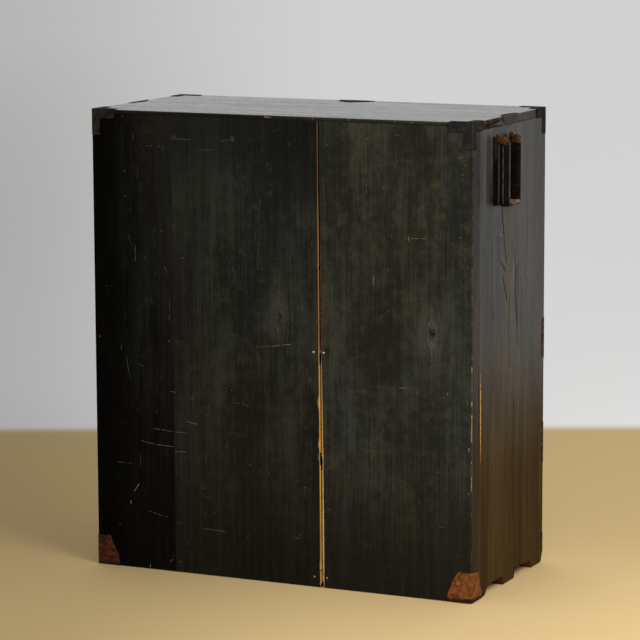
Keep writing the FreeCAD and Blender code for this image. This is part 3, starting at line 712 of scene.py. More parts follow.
def make_top_board():
    bm = bmesh.new()
    profile = [(TOP_LOW.y, TOP_LOW.z), (INSIDE_BACK, TOP_LOW.z), (INSIDE_BACK, PLANK_TOP),
               (REAR, PLANK_TOP), (REAR, CROWN), (FRONT, CROWN)]
    add_prism(bm, profile, 2 * HALF_WIDE, axes("yzx", (-HALF_WIDE, 0, 0)))
    bm.verts.ensure_lookup_table()
    upper = [face for face in bm.faces if min(v.co.z for v in face.verts) > CROWN - MM]
    soften(bm, 1.3 * MM, 3, faces=upper)
    for face in bm.faces:
        if face.normal.z < 0.5:
            flank = abs(face.normal.x) > 0.5
            face.material_index = 3 if flank else 1 if face.normal.y > 0.5 else 2
    box = (TOP_LOW, TOP_HIGH)
    crown = wood("top_stain", "x", box, tone(0.003, 0.003, 0.003), tone(0.05, 0.046, 0.04),
                 tone(0.1, 0.065, 0.035), specular=0.4, roughness=(0.24, 0.5), seed=3.0, streaks=2.0,
                 coarse=1.6, edge_wear=0.4, edge_reach=3 * MM, specks=0.3)
    lip_marks = [(RAW_ORANGE, 1.4, 1.3 * MM, [(on_back(28, 946.5), on_back(13, 946)),
                                              (on_back(-78, 947.5), on_back(-78, 946.5))]),
                 (SPECK_GREY, 1.5, 1.3 * MM,
                  [(on_back(x, 947), on_back(x, 946)) for x in (-155, -291, -254)])]
    rear = wood("top_rear_stain", "x", box, tone(0.004, 0.0038, 0.0033), tone(0.02, 0.019, 0.016),
                tone(0.05, 0.03, 0.015), specular=0.12, seed=4.0, edge_wear=0.1, marks=lip_marks)
    edge = wood("top_edge_stain", "y", box, tone(0.005, 0.0045, 0.004), tone(0.028, 0.023, 0.018),
                tone(0.09, 0.055, 0.03), specular=0.35, roughness=(0.3, 0.5), seed=5.0, edge_wear=0.3)
    flank = wood("top_flank_stain", "z", box, tone(0.001, 0.0008, 0.0006), tone(0.024, 0.02, 0.015),
                 tone(0.07, 0.04, 0.02), specular=0.2, roughness=(0.3, 0.56), seed=6.0, streaks=2.2,
                 coarse=2.4, edge_wear=0.3, specks=0.2,
                 shades=[(1, REAR - 10 * MM, REAR - 90 * MM, 0.6, tone(0.012, 0.007, 0.002), 0.6)])
    finish_piece("top_board_worn", bm, "case", [crown, rear, edge, flank], ["top_board"])


# Where the side boards' rear stile meets the panel, and how that joint opens with height
STILE_JOINT = REAR - 36 * MM
JOINT_OPEN_LOW, JOINT_OPEN_HIGH = 0.270, 0.455


def joint_gap(height):
    """Half the gap between panel and stile: a hairline that opens over a stretch."""
    middle = (JOINT_OPEN_LOW + JOINT_OPEN_HIGH) / 2
    reach = (JOINT_OPEN_HIGH - JOINT_OPEN_LOW) / 2
    share = max(0.0, 1 - ((height - middle) / reach) ** 2)
    return (0.25 + 0.75 * share) * MM


def cut_cracks(piece, cracks, sign):
    """Carves narrow drying cracks into the outer face of a side board."""
    cutter_mesh = bpy.data.meshes.new("crack_cutter")
    bm = bmesh.new()
    for points, half, deep in cracks:
        rings = []
        count = len(points)
        for n, (y, z) in enumerate(points):
            width = half * MM * math.sin(math.pi * (n + 0.6) / (count + 0.2)) ** 0.5
            outer = sign * (HALF_WIDE + 1 * MM)
            inner = sign * (HALF_WIDE - deep * MM)
            corners = ((outer, -width), (outer, width), (inner, 0.1 * MM), (inner, -0.1 * MM))
            rings.append([Vector((x, y * MM + aside, z * MM)) for x, aside in corners])
        add_rings(bm, rings)
    bmesh.ops.recalc_face_normals(bm, faces=bm.faces)
    bm.to_mesh(cutter_mesh)
    bm.free()
    cutter = link("crack_cutter", cutter_mesh)
    carve = piece.modifiers.new("cracks", "BOOLEAN")
    carve.object = cutter
    carve.operation = "DIFFERENCE"
    carve.solver = "EXACT"
    piece.modifiers.move(len(piece.modifiers) - 1, 0)
    bpy.context.view_layer.update()
    carved = bpy.data.meshes.new_from_object(piece.evaluated_get(bpy.context.evaluated_depsgraph_get()))
    piece.modifiers.clear()
    piece.data = carved
    bpy.data.objects.remove(cutter)


# Drying cracks of the left side, as (y, z) runs in millimetres, with half width and depth. About
# half the points of the first four were turned into millimetres by another program, too.
SIDE_CRACKS = [
    ([(18.6, 940), (18.4, 932), (18.3, 925)], 1.2, 3),
    ([(43, 773), (39, 748), (34, 724), (29, 702), (25, 683), (17, 657)], 2.6, 6),
    ([(38, 636), (33, 620), (24, 602), (18, 592), (12.7, 580)], 2.3, 5),
    ([(-27, 676), (-30, 640), (-31, 595), (-37, 553), (-43, 512), (-45, 480)], 2.2, 6),
    ([(-24, 372), (-28, 358), (-30, 342)], 1.2, 4),
    ([(47, 664), (40, 656), (31, 648), (22, 640)], 2.6, 5),
    ([(-1, 600), (2, 560), (2.5, 516), (-1, 478), (-6, 441)], 1.5, 4),
    ([(-12, 700), (-14, 672), (-12, 648)], 1.0, 3),
    ([(62, 716), (59, 690), (60, 662)], 1.0, 3),
    ([(-62, 622), (-66, 584), (-64, 545), (-67, 510)], 1.2, 3),
    ([(88, 590), (86, 560), (87, 533)], 0.9, 3),
    ([(-96, 742), (-98, 700), (-97, 660)], 1.1, 3),
]


EYE_STAIN_REACH = 37 * MM       # from a handle's middle to the rust stains under its eyes
EYE_REACH = 37.3 * MM           # and to the eyes themselves
POST_REACH = 46 * MM            # from a pull's middle to its posts

# A side panel's foot has lost its sheen. Each band of it is (top, specular level at its foot);
# within a band a painted sheen, a paler colour added towards its top, stands in for the reflection
# that the next band's higher specular level adds.
SHEEN_BANDS = ((0.28, 0.05), (0.34, 0.10), (0.40, 0.16), (0.46, 0.22), (1.0, 0.28))
SHEEN_START = 0.22
PAINTED_SHEEN_RGB = Vector((0.107, 0.096, 0.0625))


def make_side_board(side, sign):
    node = "side_board_" + side
    low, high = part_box(node)
    matrix = axes("yzX" if sign > 0 else "yzx", (sign * HALF_WIDE, 0, 0))
    thick = high.x - low.x
    steps = 24
    heights = [low.z + (high.z - low.z) * n / steps for n in range(steps + 1)]
    outline = side_outline(node, sign * HALF_WIDE)
    foot_top = sorted({round(z, 5) for y, z in outline})[1]
    if outline[1][1] > outline[0][1]:
        outline = [outline[0]] + outline[:0:-1]
    panel = [corner for corner in outline if corner[0] < STILE_JOINT]
    cut_at = next(n for n, corner in enumerate(outline) if corner[0] > STILE_JOINT)
    panel[cut_at:cut_at] = [(STILE_JOINT - joint_gap(z), z) for z in heights]
    bm = bmesh.new()
    add_prism(bm, panel, thick, matrix)
    bmesh.ops.recalc_face_normals(bm, faces=bm.faces)
    foot_look = len(SHEEN_BANDS)
    for face in bm.faces:
        if abs(face.normal.x) < 0.5 and face.calc_center_median().z < foot_top:
            face.material_index = foot_look
    soles = [edge for edge in bm.edges
             if all(v.co.z < foot_top - MM and abs(v.co.x) > HALF_WIDE - MM for v in edge.verts)]
    bmesh.ops.bevel(bm, geom=soles, offset=2.2 * MM, segments=1, affect="EDGES")
    soften(bm, 0.7 * MM, 2, angle=40)
    for height, _ in SHEEN_BANDS[:-1]:
        bmesh.ops.bisect_plane(bm, geom=bm.verts[:] + bm.edges[:] + bm.faces[:],
                               plane_co=(0, 0, height), plane_no=(0, 0, 1))
    for face in bm.faces:
        if face.material_index != foot_look:
            middle = face.calc_center_median().z
            face.material_index = next(n for n, band in enumerate(SHEEN_BANDS) if middle < band[0])

    stains = []
    joint = JOINTS[side + "_carry_swing"]["pos_m"]
    for reach in (-EYE_STAIN_REACH, EYE_STAIN_REACH):
        eye = Vector((sign * HALF_WIDE, joint[1] + reach, joint[2]))
        stains.append((eye, 24 * MM, 0.9, RUST_STAIN))
    marks = []
    # The side's wider cracks and two small spots are darkened along their lines with painted shade.
    if sign < 0:
        for run, half, deep in SIDE_CRACKS:
            if half > 1.1:
                spots = [on_side(y, z) for y, z in run]
                marks.append((CRACK_SHADE, 1.5, half * 1.5 * MM, list(zip(spots, spots[1:]))))
        marks.append((CRACK_SHADE, 1.3, 2.5 * MM, [(on_side(-68, 669.5), on_side(-68, 667)),
                                                  (on_side(-52, 656), on_side(-52, 654))]))
        marks.append((tone(0.03, 0.02, 0.012), 0.7, 6 * MM, [(on_side(42, 676), on_side(20, 640))]))
        marks.append((tone(0.045, 0.02, 0.008), 0.8, 9 * MM, [(on_side(80, 903), on_side(77, 874))]))
        gold = tone(0.6, 0.3, 0.06)
        marks.append((gold, 0.9, 3.1 * MM, [(on_side(151.3, 418), on_side(150.3, 315))]))
        marks.append((gold, 0.9, 2.0 * MM, [(on_side(152, 436), on_side(150.2, 292))]))
        marks.append((gold, 0.8, 1.1 * MM, [(on_side(152, 452), on_side(149.8, 276))]))
    paints = []
    band_foot = SHEEN_START
    for n, (height, specular) in enumerate(SHEEN_BANDS):
        missing = SHEEN_BANDS[min(n + 1, len(SHEEN_BANDS) - 1)][1] - specular
        # painted sheen: paler colour towards the band's top, in place of the reflection the next band adds
        painted_sheen = (band_foot, height, (*(PAINTED_SHEEN_RGB * missing), 1.0))
        band_foot = height
        # The shade that turns the panel brown and rough below 0.46 m is a painted reflection of the floor.
        paints.append(wood(
            "side_stain_%s_%d" % (side, n), "z", (low, Vector((high.x, REAR, high.z))),
            tone(0.0005, 0.0004, 0.0003), tone(0.037, 0.0315, 0.0245), tone(0.07, 0.04, 0.02), painted_sheen=painted_sheen,
            specular=specular, roughness=(0.2, 0.56), seed=7.0 + sign, streaks=2.6, coarse=2.4,
            flecks=0.15, edge_wear=0.4, marks=marks, stains=stains, specks=0.2, lift=0.2 * MM,
            shades=[(2, 0.20, 0.46, 0.92, tone(0.035, 0.018, 0.0027), 0.6)]))
    piece = finish_piece("side_panel_" + side, bm, "case", paints + [FOOT_END], [node])
    if sign < 0:
        cut_cracks(piece, SIDE_CRACKS, sign)
        shade_evenly(piece)

    stile = [(high.y, low.z), (high.y, high.z)]
    stile += [(STILE_JOINT + joint_gap(z), z) for z in reversed(heights)]
    bm = bmesh.new()
    add_prism(bm, stile, thick, matrix)
    soften(bm, 0.7 * MM, 2, angle=40)
    # The stile's brown, rough foot below 0.45 m is a painted reflection of the floor, like the panel's.
    paint = wood("stile_stain_" + side, "z", (low, Vector((high.x, REAR, high.z))),
                 tone(0.004, 0.0035, 0.003), tone(0.036, 0.032, 0.026), tone(0.05, 0.03, 0.014),
                 specular=0.11, roughness=(0.34, 0.56), seed=11.0 + sign, streaks=1.4, coarse=1.6,
                 edge_wear=0.7, edge_reach=6 * MM, specks=0.2,
                 shades=[(2, 0.26, 0.45, 0.9, tone(0.016, 0.009, 0.002), 0.6)])
    finish_piece("side_stile_" + side, bm, "case", [paint], [node])

    bm = bmesh.new()
    inset = 2.5 * MM
    inner = sign * (HALF_WIDE - inset)
    outer = sign * (HALF_WIDE - thick + inset)
    add_box(bm, (min(inner, outer), STILE_JOINT - 1 * MM, low.z + inset),
            (max(inner, outer), STILE_JOINT + 1 * MM, high.z - inset))
    finish_piece("side_tongue_" + side, bm, "case", [SPLIT_WOOD], [node])


def chip_depth(height, chips):
    """How far the arris of the open joint has broken away at a height."""
    depth = 0.0
    for middle, reach, size in chips:
        depth = max(depth, size * max(0.0, 1 - ((height - middle) / reach) ** 2))
    return depth


def make_plank(side, edge_line, chips, paint, seed, raw_edge):
    """A back plank between two edge lines, each x as a function of z, with rounded arrises.

    raw_edge is the toward value of the edge at the open joint, or 0 where there is none.
    """
    node = "back_plank_" + side
    low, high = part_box(node)
    steps = 150
    heights = [low.z + (high.z - low.z) * n / steps for n in range(steps + 1)]
    first_line, last_line = edge_line
    outline = [(first_line(z), z, -1) for z in heights] + [(last_line(z), z, 1) for z in reversed(heights)]

    def layer(depth, rounding, break_share):
        points = []
        for x, z, toward in outline:
            inset = rounding
            if toward == raw_edge:
                inset += break_share * chip_depth(z, chips)
                inset += break_share * max(0.0, waver(z, seed, 0.6 * MM, 9 * MM))
            up = min(max(z, low.z + rounding), high.z - 0.2 * rounding)
            points.append(Vector((x - toward * inset, REAR - depth, up)))
        return points

    bm = bmesh.new()
    layers = [layer(0.0, 0.9 * MM, 1.0), layer(0.35 * MM, 0.3 * MM, 0.75),
              layer(1.2 * MM, 0.0, 0.2), layer(2.4 * MM, 0.0, 0.0), layer(REAR - INSIDE_BACK, 0.0, 0.0)]
    loops = add_rings(bm, layers)
    for first, second in zip(loops, loops[1:]):
        for n, (x, z, toward) in enumerate(outline[:-1]):
            face = bm.faces.get((first[n], first[n + 1], second[n + 1], second[n]))
            if toward == raw_edge and outline[n + 1][2] == raw_edge:
                face.material_index = 1 if second in loops[:3] else 2
    looks = [paint, ARRIS_GOLD if side == "left" else ARRIS_WOOD, SPLIT_WOOD]
    add_back_marks(bm, low.x, high.x, len(looks))
    finish_piece("back_board_" + side, bm, "case", looks + list(MARK_WOOD.values()), [node])


# Chips of the rear left arris: x and z of both ends and half width, in millimetres
ARRIS_CHIPS = (
    (-418.6, 473, -418.4, 464, 1.9), (-418.6, 435, -418.6, 433, 1.6), (-418.6, 404, -418.3, 396, 2.0),
    (-418.8, 378, -418.4, 326, 1.7), (-413, 312, -412, 306, 1.3), (-418.6, 286, -418.6, 283, 1.5),
    (-418.8, 257, -418.5, 228, 1.4), (-412, 222, -412, 220, 1.1))


def leaning_edge(node, nearest, seed, wander, reach):
    """x of a plank's edge at the open joint as a function of z, with a hand-cut wander.

    nearest is max for the edge towards +X and min for the one towards -X.
    """
    low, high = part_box(node)
    points = [vertex.co for vertex in frame["nodes"][node].data.vertices]
    foot = nearest(p.x for p in points if p.z < low.z + MM)
    head = nearest(p.x for p in points if p.z > high.z - MM)
    inward = -1 if nearest is max else 1

    def edge(z):
        share = (z - low.z) / (high.z - low.z)
        return foot + (head - foot) * share + inward * abs(waver(z, seed, wander, reach))

    return edge


def make_back():
    far_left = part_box("back_plank_left")[0].x
    middle_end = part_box("back_plank_middle")[1].x
    right_low, right_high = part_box("back_plank_right")
    open_edge = leaning_edge("back_plank_left", max, 5.0, 0.5 * MM, 30 * MM)
    split_edge = leaning_edge("back_plank_middle", min, 8.0, 0.35 * MM, 60 * MM)
    case_low = Vector((-HALF_WIDE, INSIDE_BACK, 0))
    box = (case_low, Vector((HALF_WIDE, REAR, CROWN)))
    # painted_floor_reflection browns the planks towards their foot: a painted reflection of the floor.
    painted_floor_reflection = (2, 0.06, 0.42, 0.55, tone(0.0095, 0.0075, 0.0026), 0.62)
    foot_dark = (2, 0.02, 0.25, 0.72, tone(0.0038, 0.0028, 0.001), 0.7)

    # The left plank's crack at its knot and a spot near its foot are darkened with painted shade.
    left_paint = wood(
        "back_stain_left", "z", box, tone(0.0092, 0.0091, 0.0078), tone(0.033, 0.0322, 0.0268), RAW_ORANGE,
        specular=0.12, seed=21.0, edge_wear=0.16, knots=[(on_back(-334, 534), 10 * MM)], tints=MOSSY,
        streaks=0.75, mottling=1.3, hairs=0.17, blotches=0.4, shades=[painted_floor_reflection, foot_dark],
        marks=[(CRACK_SHADE, 1.2, 3.2 * MM, [(on_back(-329, 535), on_back(-339, 533))])],
        chips=[(on_back(x, z), on_back(last_x, last_z), half * MM)
               for x, z, last_x, last_z, half in ARRIS_CHIPS],
        stains=[(on_back(-376, 168), 3 * MM, 3.0, CRACK_SHADE),
                (on_back(-342, 830), 15 * MM, 0.8, tone(0.075, 0.053, 0.018)),
                (on_back(-351, 763), 20 * MM, 0.5, tone(0.055, 0.045, 0.018)),
                (on_back(-399, 700), 30 * MM, 0.6, tone(0.05, 0.028, 0.012)),
                (on_back(-394, 880), 16 * MM, 0.6, tone(0.07, 0.06, 0.02))])
    # The middle plank's last shade darkens it towards +X: painted light falloff.
    middle_paint = wood(
        "back_stain_middle", "z", box, tone(0.0068, 0.0067, 0.0058), tone(0.0245, 0.0238, 0.0195), RAW_ORANGE,
        specular=0.08, seed=31.0, edge_wear=0.06, knots=[(on_back(-4, 548), 9 * MM)], tints=MOSSY,
        streaks=0.8, mottling=1.2, hairs=0.15, blotches=0.3,
        shades=[painted_floor_reflection, foot_dark, (2, 0.92, 0.76, 0.75, tone(0.004, 0.0039, 0.0034), 0.6),
                (0, 0.24, 0.05, 0.5, tone(0.0072, 0.0066, 0.0048), 0.62)],
        stains=[(on_back(99, 900), 9 * MM, 1.1, tone(0.06, 0.055, 0.045)),
                (on_back(231, 898), 9 * MM, 0.9, tone(0.05, 0.046, 0.036))])
    # The right plank is painted nearly black, darkest towards +X: painted light falloff. Its other shades
    # lighten it beside the seam and darken its foot.
    right_paint = wood(
        "back_stain_right", "z", box, tone(0.0012, 0.0011, 0.0009), tone(0.0085, 0.0078, 0.006), RAW_ORANGE,
        specular=0.04, seed=41.0, edge_wear=0.03, tints=MOSSY, hairs=0.06, blotches=0.15,
        shades=[(0, 0.238, 0.30, 0.6, tone(0.0095, 0.009, 0.0065), 0.9),
                (2, 0.10, 0.5, 0.75, tone(0.0014, 0.001, 0.0004), 0.9),
                (0, 0.40, 0.30, 0.9, tone(0.0006, 0.0004, 0.0002), 0.9)])

    split_chips = [(0.378, 0.014, 3.0 * MM), (0.295, 0.010, 2.6 * MM), (0.268, 0.008, 1.4 * MM),
                   (0.655, 0.008, 0.9 * MM), (0.045, 0.012, 0.9 * MM)]
    left_chips = [(0.272, 0.009, 1.8 * MM), (0.19, 0.28, 1.2 * MM)]
    make_plank("left", (lambda z: far_left, open_edge), left_chips, left_paint, 2.0, 1)
    make_plank("middle", (split_edge, lambda z: middle_end), split_chips, middle_paint, 3.0, -1)
    make_plank("right", (lambda z: right_low.x, lambda z: right_high.x), [], right_paint, 4.0, 0)


# ------------------------------------------------------------------ sheet irons on the case

PLATE = 0.9 * MM        # sheet thickness; nail heads fill the rest of the CAD iron
NAIL_HIGH = IRON - PLATE
NAIL_RADIUS = 1.9 * MM


def add_nail(bm, centre, outward):
    add_dome(bm, centre, outward, NAIL_RADIUS, NAIL_HIGH)


def scallops(start, end, out, lobes):
    """Points of a scalloped end from start to end; each lobe is (share of the width, height)."""
    points = []
    begun = 0.0
    for share, height in lobes:
        for n in range(1, 6):
            turn = n / 5
            at = begun + share * turn
            base = start + (end - start) * at
            points.append(base + out * height * math.sin(math.pi * turn))
        begun += share
    return points


CLOUD_END = ((0.3, 1.6 * MM), (0.4, 3.2 * MM), (0.3, 1.6 * MM))


def add_bent_sheet(bm, outline, place, thick=PLATE):
    """A sheet of a flat outline, bent by place(s, t, lift) after it is cut along the bend."""
    flat = bmesh.new()
    flat.faces.new([flat.verts.new((s, t, 0.0)) for s, t in outline])
    for cut in BEND_CUTS:
        bmesh.ops.bisect_plane(flat, geom=flat.verts[:] + flat.edges[:] + flat.faces[:],
                               plane_co=(cut, 0, 0), plane_no=(1, 0, 0))
    flat.verts.index_update()
    outer = [bm.verts.new(place(v.co.x, v.co.y, thick)) for v in flat.verts]
    inner = [bm.verts.new(place(v.co.x, v.co.y, 0.0)) for v in flat.verts]
    for face in flat.faces:
        bm.faces.new([outer[v.index] for v in face.verts])
        bm.faces.new([inner[v.index] for v in reversed(face.verts)])
    for edge in flat.edges:
        if edge.is_boundary:
            a, b = (v.index for v in edge.verts)
            bm.faces.new((outer[a], outer[b], inner[b], inner[a]))
    flat.free()


BEND = 1.2 * MM                 # radius inside a plate that is bent over an edge
BEND_ARC = BEND * math.pi / 4   # half the length of the bend along the sheet
BEND_CUTS = [BEND_ARC * share for share in (-1, -0.5, 0, 0.5, 1)]


def bent_over(edge, first, second, sideways):
    """place(s, t, lift) for add_bent_sheet, round an edge of the case.

    s > 0 lies on the face that looks along second, s < 0 on the face that looks along first, and
    t runs along the edge.
    """
    def place(s, t, lift):
        reach = BEND + lift
        pivot = edge - (first + second) * BEND + sideways * t
        if s > BEND_ARC:
            return pivot - first * (s - BEND_ARC) + second * reach
        if s < -BEND_ARC:
            return pivot + first * reach - second * (-s - BEND_ARC)
        angle = math.pi / 4 * (1 + s / BEND_ARC)
        return pivot + first * reach * math.cos(angle) + second * reach * math.sin(angle)

    return place


def upright_corner(sign_x, sign_y):
    """The bend round a vertical corner of the case: s > 0 on the front or back, s < 0 on the side."""
    corner = Vector((sign_x * HALF_WIDE, sign_y * REAR, 0))
    return bent_over(corner, Vector((sign_x, 0, 0)), Vector((0, sign_y, 0)), Vector((0, 0, 1)))


def grown(outline, amount):
    """The outline moved outwards by this much at each point."""
    moved = []
    count = len(outline)
    turn = sum(outline[n - 1].x * outline[n].y - outline[n].x * outline[n - 1].y for n in range(count))
    for n, point in enumerate(outline):
        run = (outline[(n + 1) % count] - outline[n - 1]).normalized()
        moved.append(point + Vector((run.y, -run.x)) * math.copysign(amount, turn))
    return moved


def l_outline(arm, width, drop):
    """Half of a corner mount on one face, from the corner outwards: a cross arm and a leg."""
    top = CROWN
    right = Vector((1, 0))
    down = Vector((0, -1))
    points = [Vector((0, top)), Vector((arm, top))]
    points += scallops(Vector((arm, top)), Vector((arm - 2 * MM, top - width)), right, CLOUD_END)
    points += [Vector((arm * 0.72, top - width - 0.8 * MM)), Vector((width + 3 * MM, top - width)),
               Vector((width, top - width - 3 * MM)), Vector((width - 0.6 * MM, top - drop * 0.75))]
    points += [Vector((width, top - drop + 2 * MM))]
    points += scallops(Vector((width, top - drop + 2 * MM)), Vector((0, top - drop + 2 * MM)), down,
                       ((0.45, 1.8 * MM), (0.55, 2.2 * MM)))
    return points


def make_top_mounts():
    bm = bmesh.new()
    arm, drop, width = 51 * MM, 53 * MM, 18 * MM
    for side, sign_x in SIDES:
        for sign_y in (-1, 1):
            place = upright_corner(sign_x, sign_y)
            half = l_outline(arm, width, drop)
            outline = half[1:] + [Vector((-p.x, p.y)) for p in reversed(half[1:])]
            cleaned = [outline[0]]
            for point in outline[1:]:
                if (point - cleaned[-1]).length > 0.05 * MM:
                    cleaned.append(point)
            known = set(bm.faces)
            # A near-black sheet 1 mm wider than the plate, under it: a painted shadow round the plate's edge.
            grime_and_shade = [Vector((p.x, min(p.y, CROWN))) for p in grown(cleaned, 1.0 * MM)]
            add_bent_sheet(bm, grime_and_shade, place, 0.12 * MM)
            look_of_new(bm, known, 2)
            add_bent_sheet(bm, cleaned, place)
            lid = [(0, 0), (arm, 0), (arm + 1.5 * MM, width * 0.5), (arm, width), (width + 2 * MM, width),
                   (width, width + 2 * MM), (width, arm), (width * 0.5, arm + 1.5 * MM), (0, arm)]
            corner = axes(("X" if sign_x > 0 else "x") + ("Y" if sign_y > 0 else "y") + "z",
                          (sign_x * HALF_WIDE, sign_y * REAR, CROWN))
            add_prism(bm, lid, PLATE, corner)
            for a, b in ((arm - 8 * MM, width / 2), (width / 2, arm - 8 * MM), (width / 2, width / 2)):
                add_nail(bm, corner @ Vector((a, b, PLATE)), (0, 0, 1))
            for s, t in ((arm - 8 * MM, 9 * MM), (width / 2, drop - 9 * MM)):
                back = Vector((sign_x * (HALF_WIDE - s), sign_y * (REAR + PLATE), CROWN - t))
                flank = Vector((sign_x * (HALF_WIDE + PLATE), sign_y * (REAR - s), CROWN - t))
                add_nail(bm, back, (0, sign_y, 0))
                add_nail(bm, flank, (sign_x, 0, 0))
    bmesh.ops.recalc_face_normals(bm, faces=bm.faces)
    for face in bm.faces:
        centre = face.calc_center_median()
        # The rear face of the mount at +X takes the darker, duller lid iron rather than the mount iron:
        # painted shade for light that falls off towards +X.
        lit_rear_face = face.normal.y > 0.5 and centre.z < CROWN and centre.x < 0
        if face.material_index == 0 and not lit_rear_face:
            face.material_index = 1
    finish_piece("corner_mounts_forged", bm, "case", [MOUNT_IRON, LID_IRON, PAINTED_SHADE_IRON],
                 ["top_corner_mounts"])


def make_bottom_caps():
    """Rusted caps on the rear corners: slanted sides with a wavy edge, bent round the corner."""
    low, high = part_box("bottom_corner_caps")
    back_base, back_top = 52 * MM, 27 * MM
    side_base, side_top = 54 * MM, 34 * MM
    for (side, sign_x), rust in zip(SIDES, (CAP_RUST_LEFT, CAP_RUST_RIGHT)):
        bm = bmesh.new()
        place = upright_corner(sign_x, 1)
        steps = 12
        flank = []
        face = []
        for n in range(steps + 1):
            share = n / steps
            z = low.z + (high.z - low.z) * share
            wave = waver(z, 3.0 * sign_x + 1, 3 * MM, 15 * MM)
            bow = 4 * MM * math.sin(math.pi * share)
            face.append((back_base + (back_top - back_base) * share + bow + wave, z))
            flank.append((-(side_base + (side_top - side_base) * share - 0.5 * bow + wave), z))
        flank[-1] = (flank[-1][0] * 0.9, high.z - 6 * MM)
        crest = [(back_top * 0.55, high.z - 0.6 * MM), (2 * MM, high.z - 1.2 * MM),
                 (-side_top * 0.45, high.z - 2.5 * MM), (-side_top * 0.8, high.z - 4.4 * MM)]
        add_bent_sheet(bm, face + crest + list(reversed(flank)), place, IRON * 0.95)
        finish_piece("bottom_cap_" + side, bm, "case", [rust], ["bottom_corner_caps"])


def make_rail_plates():
    """Tall plates with rounded ends that tie the front corners at the two lower rails."""
    bm = bmesh.new()
    for low, high in solids_of("rail_end_plates"):
        sign_x = 1 if low.x > 0 else -1
        place = upright_corner(sign_x, -1)
        half = 19 * MM
        tall = high.z - low.z
        outline = []
        for end, up in ((high.z, 1), (low.z, -1)):
            for n in range(13):
                angle = math.pi * n / 12
                s = half * math.cos(angle) * up
                s = max(s, 0.6 * s)
                outline.append((s, end - up * (7 * MM - 7 * MM * math.sin(angle))))
        add_bent_sheet(bm, outline, place)
        for share in (0.14, 0.5, 0.86) if tall > 60 * MM else (0.25, 0.75):
            z = low.z + tall * share
            add_nail(bm, (sign_x * (HALF_WIDE - 10 * MM), FRONT - PLATE, z), (0, -1, 0))
            add_nail(bm, (sign_x * (HALF_WIDE + PLATE), FRONT + 10 * MM, z), (sign_x, 0, 0))
    finish_piece("rail_plates_forged", bm, "case", [PLATE_RUST], ["rail_end_plates"])


def make_edge_plates():
    """Lobed plates bent over the middle of the top's front and side edges."""
    bm = bmesh.new()
    for low, high in solids_of("top_edge_plates"):
        centre = (low + high) / 2
        on_front = low.y < FRONT
        if on_front:
            outward, sideways, edge = Vector((0, -1, 0)), Vector((1, 0, 0)), Vector((0, FRONT, CROWN))
            half, inward = (high.x - low.x) / 2, high.y - FRONT
        else:
            sign = 1 if centre.x > 0 else -1
            outward, sideways = Vector((sign, 0, 0)), Vector((0, 1, 0))
            edge = Vector((sign * HALF_WIDE, centre.y, CROWN))
            half = (high.y - low.y) / 2
            inward = HALF_WIDE - min(abs(low.x), abs(high.x))
        drop = CROWN - low.z
        up = Vector((0, 0, 1))
        place = bent_over(edge, outward, up, sideways)
        outline = []
        for n in range(25):
            angle = -math.pi / 2 + math.pi * n / 24
            lobe = 0.86 + 0.14 * abs(math.cos(3 * angle))
            outline.append((inward * lobe * math.cos(angle), half * math.sin(angle)))
        for n in range(1, 24):
            angle = math.pi / 2 + math.pi * n / 24
            lobe = 0.84 + 0.16 * abs(math.cos(3 * angle))
            outline.append((drop * lobe * math.cos(angle), half * math.sin(angle)))
        add_bent_sheet(bm, outline, place)
        for t in (-0.55 * half, 0.55 * half):
            add_nail(bm, place(-drop * 0.45, t, PLATE), outward)
            add_nail(bm, place(inward * 0.45, t, PLATE), up)
    bmesh.ops.recalc_face_normals(bm, faces=bm.faces)
    for face in bm.faces:
        face.material_index = 1 if abs(face.normal.x) > 0.5 else 0
    finish_piece("edge_plates_forged", bm, "case", [LID_IRON, MOUNT_IRON], ["top_edge_plates"])


def make_back_nails():
    """Nail heads: bright at the rail beside the open joint, dull at its foot, painted elsewhere."""
    bm = bmesh.new()
    for low, high in solids_of("back_nails"):
        centre = (low + high) / 2
        known = set(bm.faces)
        add_dome(bm, (centre.x, low.y, centre.z), (0, 1, 0), (high.x - low.x) / 2, high.y - low.y)
        by_joint = -0.12 < centre.x < -0.06
        look_of_new(bm, known, (0 if centre.z > 0.1 else 1) if by_joint else 2)
    finish_piece("back_nail_heads", bm, "case", [NAIL_BRIGHT, NAIL_DULL, NAIL_PAINTED],
                 ["back_nails"])


# ------------------------------------------------------------------ carrying handles

